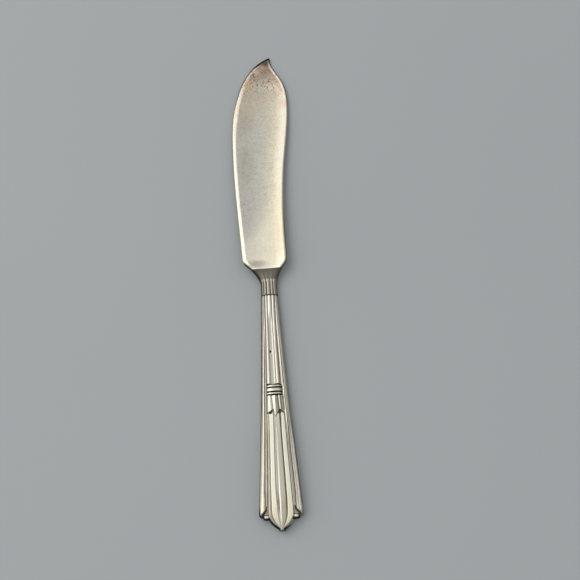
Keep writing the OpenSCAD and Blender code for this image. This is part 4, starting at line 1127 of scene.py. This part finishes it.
    def light(self):
        """Painted highlights at the crease and on the bevel, and a lighter colour towards the heel."""
        heel = fade_out(self.from_heel - 8 * MM * self.t, 24, 16)
        crease = 1.3 * near(self.from_crease, 0.35, 1.4) * self.face
        return strongest(heel, crease, clamp(2 - 2 * self.left_gap / self.bevel_w) * self.face)

    def painted_highlight(self):
        """Painted highlights on the crease's lip, along the back edge, at the heel and its right corner, and
        on the bevel.
        """
        lip = near(self.from_crease, 0.4, 1.6)
        back = mix(0.05, 0.5, fade_in(self.from_heel, 12, 30)) * ease((self.t - 0.5) / 0.3)
        back = back * fade_in(self.to_tip, 9, 8)
        heel = 0.12 * fade_out(self.from_heel, 12, 8)
        corner = spots(self.x, self.from_heel, (4.6, -0.5, 2.6, 5.0, 0.6))
        return strongest(strongest(lip, back, heel) * self.face, corner, self.bevel_highlight)

    def painted_shade(self):
        """Painted shade above the heel, and faint painted shade in clouds along the left."""
        heel = spots(self.x, self.from_crease, (-3.7, 1.8, 5.2, 2.0, 1.0)) * self.face
        return np.maximum(heel, 0.34 * ease(1.3 * spots(self.x, self.y, *self.SHADE_CLOUDS)))

    def skin(self):
        """Rings of points round the blade, and the marks at each point."""
        x, y = self.x, self.y
        rings = np.concatenate([points(x, y, self.upper), points(x, y, self.lower)[:, ::-1]], axis=1)
        edge = np.minimum(self.left_gap, self.right_gap)
        tip_rim = self.near_tip * near(np.abs(edge - 0.75 * MM), 0.35, 1.5) * self.face
        tip_rim = tip_rim * np.where(self.left_gap < self.right_gap, 1 - self.bevel_end, 1.0)
        gold = spots(x, y, *self.GOLD) * (1 - clamp(self.bevel_highlight))
        # Warmer and lighter towards the back edge: partly yellowed plate, partly painted light
        warm = ease((self.t + 0.1) / 0.9)
        lilac = spots(x, y, *self.LILAC)
        blush = spots(x, y, *self.BLUSH)
        # The hollow mark holds painted shade and grey film; the wall mark holds black edges, partly painted
        # shade
        marks = {"pit": self.pits, "edge_gap": edge, "warm": warm, "light": self.light(), "lilac": lilac,
                 "hollow": self.film(), "wall": self.wall(), "painted_highlight": self.painted_highlight(), "painted_shade": self.painted_shade(),
                 "tip_rim": tip_rim, "gold": gold, "blush": blush}
        for name, values in marks.items():
            under = values if name in self.BOTH_FACES else np.zeros_like(x)
            marks[name] = np.concatenate([values, under[:, ::-1]], axis=1)
        return rings, marks


def tang_skin(form):
    """The square tang inside the handle, from the neck's end: rings of points and an even film."""
    width = 2.0 * MM
    thick = 1.4 * MM
    low = 0.95 * MM
    taper = 0.8
    rings = []
    for y, k in ((form.joint_y, 1.0), (form.tang_y, taper)):
        half = width * k / 2
        bottom = low + thick * (1 - k) / 2
        upper = bottom + thick * k
        rings.append([(-half, y, upper), (half, y, upper), (half, y, bottom), (-half, y, bottom)])
    rings = np.array(rings)
    return rings, {"hollow": np.full(rings.shape[:2], 0.5)}


class Socket:
    """A value that varies over a surface; arithmetic on it adds Math nodes to its finish."""

    def __init__(self, finish, socket):
        self.finish = finish
        self.socket = socket

    def math(self, operation, *values):
        """A Math node on these values."""
        return self.finish.node("ShaderNodeMath", {"operation": operation}, dict(enumerate(values)))

    def __add__(self, other):
        return self.math("ADD", self, other)

    def __radd__(self, other):
        return self.math("ADD", other, self)

    def __sub__(self, other):
        return self.math("SUBTRACT", self, other)

    def __rsub__(self, other):
        return self.math("SUBTRACT", other, self)

    def __mul__(self, other):
        return self.math("MULTIPLY", self, other)

    def __rmul__(self, other):
        return self.math("MULTIPLY", other, self)

    def ramp(self, start, end):
        """A smooth step from 0 at start to 1 at end."""
        return self.finish.node("ShaderNodeMapRange", {"interpolation_type": "SMOOTHSTEP"},
                                {"Value": self, "From Min": start, "From Max": end})

    def either(self, other):
        """The larger of two values."""
        return self.math("MAXIMUM", self, other)

    def held(self):
        """The value held between 0 and 1."""
        return self.math("MINIMUM", self.math("MAXIMUM", self, 0.0), 1.0)

    def mottled(self, noise, least, gain):
        """The value broken up by a noise, from a least share up, and held between 0 and 1."""
        return (self * (least + gain * noise)).held()


class Finish:
    """A procedural material with one Principled surface."""

    def __init__(self, name):
        self.material = bpy.data.materials.new(name)
        self.material.use_nodes = True
        self.tree = self.material.node_tree
        self.surface = self.tree.nodes["Principled BSDF"]
        self.place = self.node("ShaderNodeTexCoord", output="Object")

    def node(self, kind, settings=None, sockets=None, output=0):
        """Adds a node: its settings first, then the values or links of its sockets."""
        made = self.tree.nodes.new(kind)
        for name, value in (settings or {}).items():
            setattr(made, name, value)
        for name, value in (sockets or {}).items():
            self.plug(made.inputs[name], value)
        return Socket(self, made.outputs[output])

    def plug(self, target, value):
        """Links a socket, or sets a plain number or colour on it."""
        if isinstance(value, Socket):
            self.tree.links.new(value.socket, target)
        else:
            target.default_value = value

    def mark(self, name):
        """A value kept at the points of the mesh."""
        return self.node("ShaderNodeAttribute", {"attribute_name": name}, output="Fac")

    def along(self):
        """The place along the knife."""
        return self.node("ShaderNodeSeparateXYZ", sockets={0: self.place}, output="Y")

    def noise(self, scale, detail=3.0, rough=0.55, stretch=(1.0, 1.0, 1.0), shift=(0.0, 0.0, 0.0)):
        """Cloudy noise, in features per metre, drawn out along the axes with a small stretch."""
        where = self.node("ShaderNodeMapping",
                          sockets={"Vector": self.place, "Location": shift, "Scale": stretch})
        return self.node("ShaderNodeTexNoise",
                         sockets={"Vector": where, "Scale": scale, "Detail": detail, "Roughness": rough})

    def blend(self, factor, start, end):
        """A colour between two colours."""
        return self.node("ShaderNodeMix", {"data_type": "RGBA"},
                         {0: factor, 6: tint(start), 7: tint(end)}, output=2)

    def coats(self, base, *layers):
        """A colour with coats laid over it in order, each with its share and its colour."""
        for factor, over in layers:
            base = self.blend(factor, base, over)
        return base

    def bump(self, height, distance):
        """A fine unevenness of the surface."""
        return self.node("ShaderNodeBump", sockets={"Strength": 1.0, "Distance": distance, "Height": height})

    def paint(self, **sockets):
        """Sets the Principled surface, by names with underscores for spaces."""
        for name, value in sockets.items():
            self.plug(self.surface.inputs[name.replace("_", " ").title().replace("Ior", "IOR")], value)
        return self.material


def tint(value):
    """A colour as a socket takes it."""
    return value if isinstance(value, Socket) else (*value, 1.0)


def blade_plate(c):
    """Satin plate of the blade: mottled, with copper wear at the tip, a mauve film, black pits, and painted
    highlights and shade.
    """
    finish = Finish("blade_plate")
    y = finish.along()
    light, painted_highlight, hollow, pit = (finish.mark(name) for name in ("light", "painted_highlight", "hollow", "pit"))
    cloud = finish.noise(260, 4)
    speckle = finish.noise(1500, 2)
    fine = finish.noise(2600, 2, 0.7)
    grain = finish.noise(900, 3, stretch=(1.0, 0.12, 1.0))
    blotch = finish.noise(620, 5, 0.68, shift=(2.0, 9.0, 0.0))
    mauve = finish.noise(95, 2, shift=(3.0, 1.0, 0.0)).ramp(0.5, 0.75) * 0.4
    patches = finish.noise(240, 4, shift=(0.0, 5.0, 2.0)).ramp(0.38, 0.66)
    dots = finish.noise(1150, 3, 0.7, shift=(7.0, 0.0, 0.0)).ramp(0.54, 0.64) * 0.8
    tip = y.ramp(TIP_Y - 25 * MM, TIP_Y - 8 * MM)
    dotted = y.ramp(TIP_Y - 21 * MM, TIP_Y - 11 * MM)
    bare = y.ramp(TIP_Y - 12.5 * MM, TIP_Y - 4.5 * MM)
    edge = 1 - finish.mark("edge_gap").ramp(0.0, 2.2 * MM)
    kept = 1 - 0.8 * painted_highlight
    thin = tip.mottled(patches, 0.35, 0.9)
    worn = (tip * edge * cloud.ramp(0.35, 0.6) * kept * 0.75).held()
    specks = (dotted * dots).either(pit.mottled(speckle, 0.6, 2.2))
    # Black at the seam and along the edges, partly painted shade, and in the pits
    dark = finish.mark("wall").either((pit - 0.45) * 1.6).held()
    base = finish.coats(
        c.satin,
        (light.mottled(cloud, 0.6, 0.7), c.bright),
        # Lighter towards the heel, with painted highlights at the crease and on the bevel
        (finish.mark("warm").mottled(cloud, 0.55, 0.9), c.warm),
        # Warm towards the back edge, partly painted light
        (mauve.either(finish.mark("lilac") * cloud * 1.6).held(), c.mauve),
        (speckle.ramp(0.56, 0.8) * (0.33 - 0.16 * light), c.tarnish),
        (fine.ramp(0.42, 0.75) * (0.4 - 0.18 * light), c.tarnish),
        (blotch.ramp(0.46, 0.72) * (0.22 - 0.12 * light), c.tarnish),
        # Painted highlights on the crease's lip, the back edge, the heel and the bevel
        (painted_highlight.mottled(cloud, 0.7, 0.6), c.highlight_silver),
        # Painted shade above the heel and along the left of the face
        (finish.mark("painted_shade").ramp(0.0, 0.8) * (0.15 + 0.5 * cloud), c.smoke),
        (thin * kept * 0.8, c.beige),
        (worn, c.copper),
        (bare.mottled(cloud, 0.55, 0.8), c.bare),
        # Painted shade in the cove and at the heel's corners, and grey film, partly painted shade, on the
        # neck
        (hollow * 0.95, c.smoke),
        (finish.mark("gold").mottled(blotch, 0.8, 1.0) * 0.65, c.gold),
        (finish.mark("blush").mottled(blotch, 0.5, 1.0) * 0.8, c.copper),
        (finish.mark("tip_rim").mottled(blotch, 0.1, 1.4), c.shell),
        (specks, c.brown),
        (dark, c.black))
    rough = c.roughness + 0.12 * (cloud - 0.5) + 0.2 * (speckle - 0.5)
    rough = rough + 0.1 * thin + 0.1 * hollow + 0.4 * dark
    height = grain * 0.5 + speckle * 0.6 + cloud * 0.8
    return finish.paint(base_color=base, roughness=rough, metallic=1 - 0.85 * dark, specular_ior_level=GLOSS,
                        normal=finish.bump(height, 0.03 * MM))


def handle_plate(c):
    """Plate of the stamped front: rubbed ribs, olive film in the hollows, black in the cut lines, and painted
    highlights and shade.
    """
    finish = Finish("handle_plate")
    y = finish.along()
    cloud = finish.noise(320, 4)
    speckle = finish.noise(1700, 2)
    grain = finish.noise(1100, 3, stretch=(1.0, 0.1, 1.0))
    streak = finish.noise(700, 3, stretch=(1.0, 0.06, 1.0))
    film = finish.mark("hollow").mottled(cloud, 0.55, 0.9)
    # Black oxide in the cut lines, and painted shade along the sides and round the beads
    black = (finish.mark("cut") * (1.1 + 0.6 * (cloud - 0.5))).held()
    rubbed = finish.blend(y.ramp(BUTT_Y + 53 * MM, BUTT_Y + 39 * MM), c.rosy, c.cream)
    base = finish.coats(
        c.satin,
        # Rubbed high points, with painted highlights on the beads and the left outer rib
        ((finish.mark("wear_and_highlight") * 0.8 + cloud * 0.6).held(), rubbed),
        # Grey on the facets, partly painted shade
        (finish.mark("facet").mottled(streak, 0.3, 1.3), c.facet),
        (y.ramp(BUTT_Y + 15 * MM, BUTT_Y + 7 * MM) * 0.5, c.warm),
        # Film in the hollows, and painted shade on the right-facing flanks, the facets and the butt's right
        # side
        (film.ramp(0.0, 0.6), c.film),
        (film.ramp(0.5, 1.0) * 0.9, c.shade),
        # Painted highlights on the beads, the ridge, the rims and the crests
        (finish.mark("painted_highlight"), c.highlight_silver),
        (black, c.black))
    rough = c.roughness - 0.04 + 0.1 * (speckle - 0.5) + 0.2 * film + 0.5 * black
    metal = 1 - 0.85 * black - finish.mark("matt") * 0.9
    height = grain * 0.3 + speckle * 0.2 + cloud * 0.4
    return finish.paint(base_color=base, roughness=rough, metallic=metal, specular_ior_level=GLOSS,
                        normal=finish.bump(height, 0.02 * MM))


def back_plate(c):
    """Dull, rubbed plate of the plain back, darker towards the seam, with black painted shade on its sides
    round the butt.
    """
    finish = Finish("back_plate")
    cloud = finish.noise(180, 4)
    speckle = finish.noise(1400, 2)
    grain = finish.noise(800, 3, stretch=(1.0, 0.1, 1.0))
    shade = finish.mark("shade")
    base = finish.coats(
        c.dull,
        (cloud.ramp(0.35, 0.7), c.satin),
        (speckle.ramp(0.6, 0.8) * 0.4, c.tarnish),
        # Darker towards the seam, partly tarnish and partly painted shade, then black painted shade round the
        # butt
        (finish.mark("edge").ramp(0.6, 1.0) * 0.45, c.tarnish),
        (shade, c.black))
    rough = c.roughness + 0.08 + 0.2 * (cloud - 0.5) + 0.4 * shade
    return finish.paint(base_color=base, roughness=rough, metallic=1 - 0.85 * shade, specular_ior_level=GLOSS,
                        normal=finish.bump(grain + speckle * 0.5, 0.03 * MM))


def cement_fill(c):
    """Gritty cement round the tang."""
    finish = Finish("cement_fill")
    grit = finish.noise(2200, 4)
    cloud = finish.noise(300, 3)
    base = finish.coats(c.cement, (cloud, c.brown), (grit.ramp(0.55, 0.7) * 0.5, c.tarnish))
    rough = 0.85 + 0.1 * (cloud - 0.5)
    return finish.paint(base_color=base, roughness=rough, normal=finish.bump(grit, 0.1 * MM))


def soft_solder(c):
    """Dark, dull solder at the seams."""
    finish = Finish("soft_solder")
    cloud = finish.noise(900, 3)
    base = finish.blend(cloud, c.solder, c.black)
    return finish.paint(base_color=base, roughness=0.5 + 0.2 * (cloud - 0.5), metallic=0.8,
                        normal=finish.bump(cloud, 0.04 * MM))


class KNIFE_OT_stage(bpy.types.Operator):
    """Sets the floor, the lamps, the room's light and the camera"""

    bl_idname = "knife.stage"
    bl_label = "Stage"

    def execute(self, context):
        stage = context.scene.knife_stage
        self.set_camera(context, stage)
        self.set_floor(context, stage)
        self.set_lamps(context, stage)
        self.set_room(context, stage)
        context.scene.view_settings.view_transform = "Standard"
        return {"FINISHED"}

    def set_camera(self, context, stage):
        """Sets the camera at its angles and distance from its aim."""
        a, e, r = stage.azimuth, stage.elevation, stage.roll
        back = Vector((math.sin(a) * math.cos(e), -math.cos(a) * math.cos(e), math.sin(e)))
        level = Vector((math.cos(a), math.sin(a), 0))
        upright = back.cross(level)
        right = level * math.cos(r) + upright * math.sin(r)
        up = upright * math.cos(r) - level * math.sin(r)
        aim = Vector((stage.aim_x, stage.aim_y, stage.aim_z))
        lens = bpy.data.cameras.new("camera")
        lens.sensor_width = 36
        lens.sensor_fit = "HORIZONTAL"
        lens.lens = stage.lens
        lens.clip_start = 0.01
        camera = bpy.data.objects.new("camera", lens)
        turn = Matrix((right, up, back)).transposed().to_4x4()
        camera.matrix_world = Matrix.Translation(aim + back * stage.distance) @ turn
        context.scene.collection.objects.link(camera)
        context.scene.camera = camera

    def set_floor(self, context, stage):
        """Lays a wide floor under the knife."""
        reach = 4.0
        mesh = bpy.data.meshes.new("floor")
        low = CAD_BOX[0][2]
        corners = [(x * reach, y * reach, low) for x, y in ((-1, -1), (1, -1), (1, 1), (-1, 1))]
        mesh.from_pydata(corners, [], [(0, 1, 2, 3)])
        floor = bpy.data.objects.new("floor", mesh)
        context.scene.collection.objects.link(floor)
        finish = Finish("floor_paint")
        cloud = finish.noise(4, 2)
        base = finish.blend(cloud, [0.96 * v for v in stage.floor], [min(1, 1.04 * v) for v in stage.floor])
        mesh.materials.append(finish.paint(base_color=base, roughness=0.9))

    def set_lamps(self, context, stage):
        """Hangs three broad lamps; their places, aims and sizes are in metres."""
        for name, watts, place, aim, size in (
                ("side_lamp", stage.side_lamp, (-1.3, 0.4, 0.55), (0, 0, 0), (1.8, 1.0)),
                ("top_lamp", stage.top_lamp, (-0.8, 0.45, 1.2), (-0.8, 0.45, 0), (1.1, 1.6)),
                ("ceiling", stage.ceiling, (0.2, 0.5, 1.9), (0.2, 0.5, 0), (2.6, 3.0))):
            light = bpy.data.lights.new(name, "AREA")
            light.shape = "RECTANGLE"
            light.size, light.size_y = size
            light.energy = watts
            light.color = stage.lamp_colour
            lamp = bpy.data.objects.new(name, light)
            lamp.location = place
            lamp.rotation_euler = (Vector(aim) - Vector(place)).to_track_quat("-Z", "Y").to_euler()
            context.scene.collection.objects.link(lamp)

    def set_room(self, context, stage):
        """Fills the room with an even light."""
        room = bpy.data.worlds.new("room")
        room.use_nodes = True
        ground = room.node_tree.nodes["Background"]
        ground.inputs["Color"].default_value = tint(stage.room_colour)
        ground.inputs["Strength"].default_value = stage.world
        context.scene.world = room


class KNIFE_OT_blade(bpy.types.Operator):
    """Makes the blade with its fluted neck and the tang"""

    bl_idname = "knife.blade"
    bl_label = "Blade and Neck"

    def execute(self, context):
        form = BladeForm(context.scene.knife_blade)
        plate = blade_plate(context.scene.knife_colours)
        blade = loft("blade_and_neck", *BladeSkin(form).skin())
        dress(blade, plate, "blade_plate", "blade")
        tang = loft("tang", *tang_skin(form))
        tang.data.materials.append(plate)
        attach(tang, BODY)
        return {"FINISHED"}


class KNIFE_OT_handle_front(bpy.types.Operator):
    """Makes the stamped front of the handle"""

    bl_idname = "knife.handle_front"
    bl_label = "Handle Front"

    def execute(self, context):
        form = HandleForm(context.scene.knife_handle, context.scene.knife_ornament)
        shell = loft("front_shell", *FrontSkin(form).skin())
        dress(shell, handle_plate(context.scene.knife_colours), "handle_plate", "handle_front")
        return {"FINISHED"}


class KNIFE_OT_handle_back(bpy.types.Operator):
    """Makes the plain back of the handle"""

    bl_idname = "knife.handle_back"
    bl_label = "Handle Back"

    def execute(self, context):
        form = HandleForm(context.scene.knife_handle, context.scene.knife_ornament)
        shell = loft("back_shell", *back_skin(form))
        dress(shell, back_plate(context.scene.knife_colours), "back_plate", "handle_back")
        return {"FINISHED"}


class KNIFE_OT_filling(bpy.types.Operator):
    """Gives the cement and the solder inside the handle their finish"""

    bl_idname = "knife.filling"
    bl_label = "Cement and Solder"

    def execute(self, context):
        c = context.scene.knife_colours
        solder = soft_solder(c)
        finishes = {"handle_cement": cement_fill(c), "rim_solder": solder, "neck_solder": solder}
        for name, material in finishes.items():
            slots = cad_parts[name].data.materials
            slots.clear()
            slots.append(material)
        return {"FINISHED"}


class KNIFE_PT_panel(bpy.types.Panel):
    """Lists the knife's pieces and its stage"""

    bl_idname = "KNIFE_PT_panel"
    bl_label = "Butter Knife"
    bl_space_type = "VIEW_3D"
    bl_region_type = "UI"
    bl_category = "Knife"

    def draw(self, context):
        for step in STEPS:
            self.layout.operator(step.bl_idname)


STEPS = (KNIFE_OT_stage, KNIFE_OT_blade, KNIFE_OT_handle_front, KNIFE_OT_handle_back, KNIFE_OT_filling)
GROUPS = {"knife_handle": HandleSizes, "knife_ornament": OrnamentSizes, "knife_blade": BladeSizes,
          "knife_colours": SilverColours, "knife_stage": StageSettings}


def register():
    """Registers the properties, the operators and the panel."""
    for name, group in GROUPS.items():
        bpy.utils.register_class(group)
        setattr(bpy.types.Scene, name, PointerProperty(type=group))
    for cls in (*STEPS, KNIFE_PT_panel):
        bpy.utils.register_class(cls)


def unregister():
    """Takes everything back out."""
    for cls in (KNIFE_PT_panel, *reversed(STEPS)):
        bpy.utils.unregister_class(cls)
    for name, group in GROUPS.items():
        delattr(bpy.types.Scene, name)
        bpy.utils.unregister_class(group)


def main():
    """Registers the add-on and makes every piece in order."""
    register()
    bpy.ops.knife.stage()
    bpy.ops.knife.blade()
    bpy.ops.knife.handle_front()
    bpy.ops.knife.handle_back()
    bpy.ops.knife.filling()


if __name__ == "__main__":
    main()
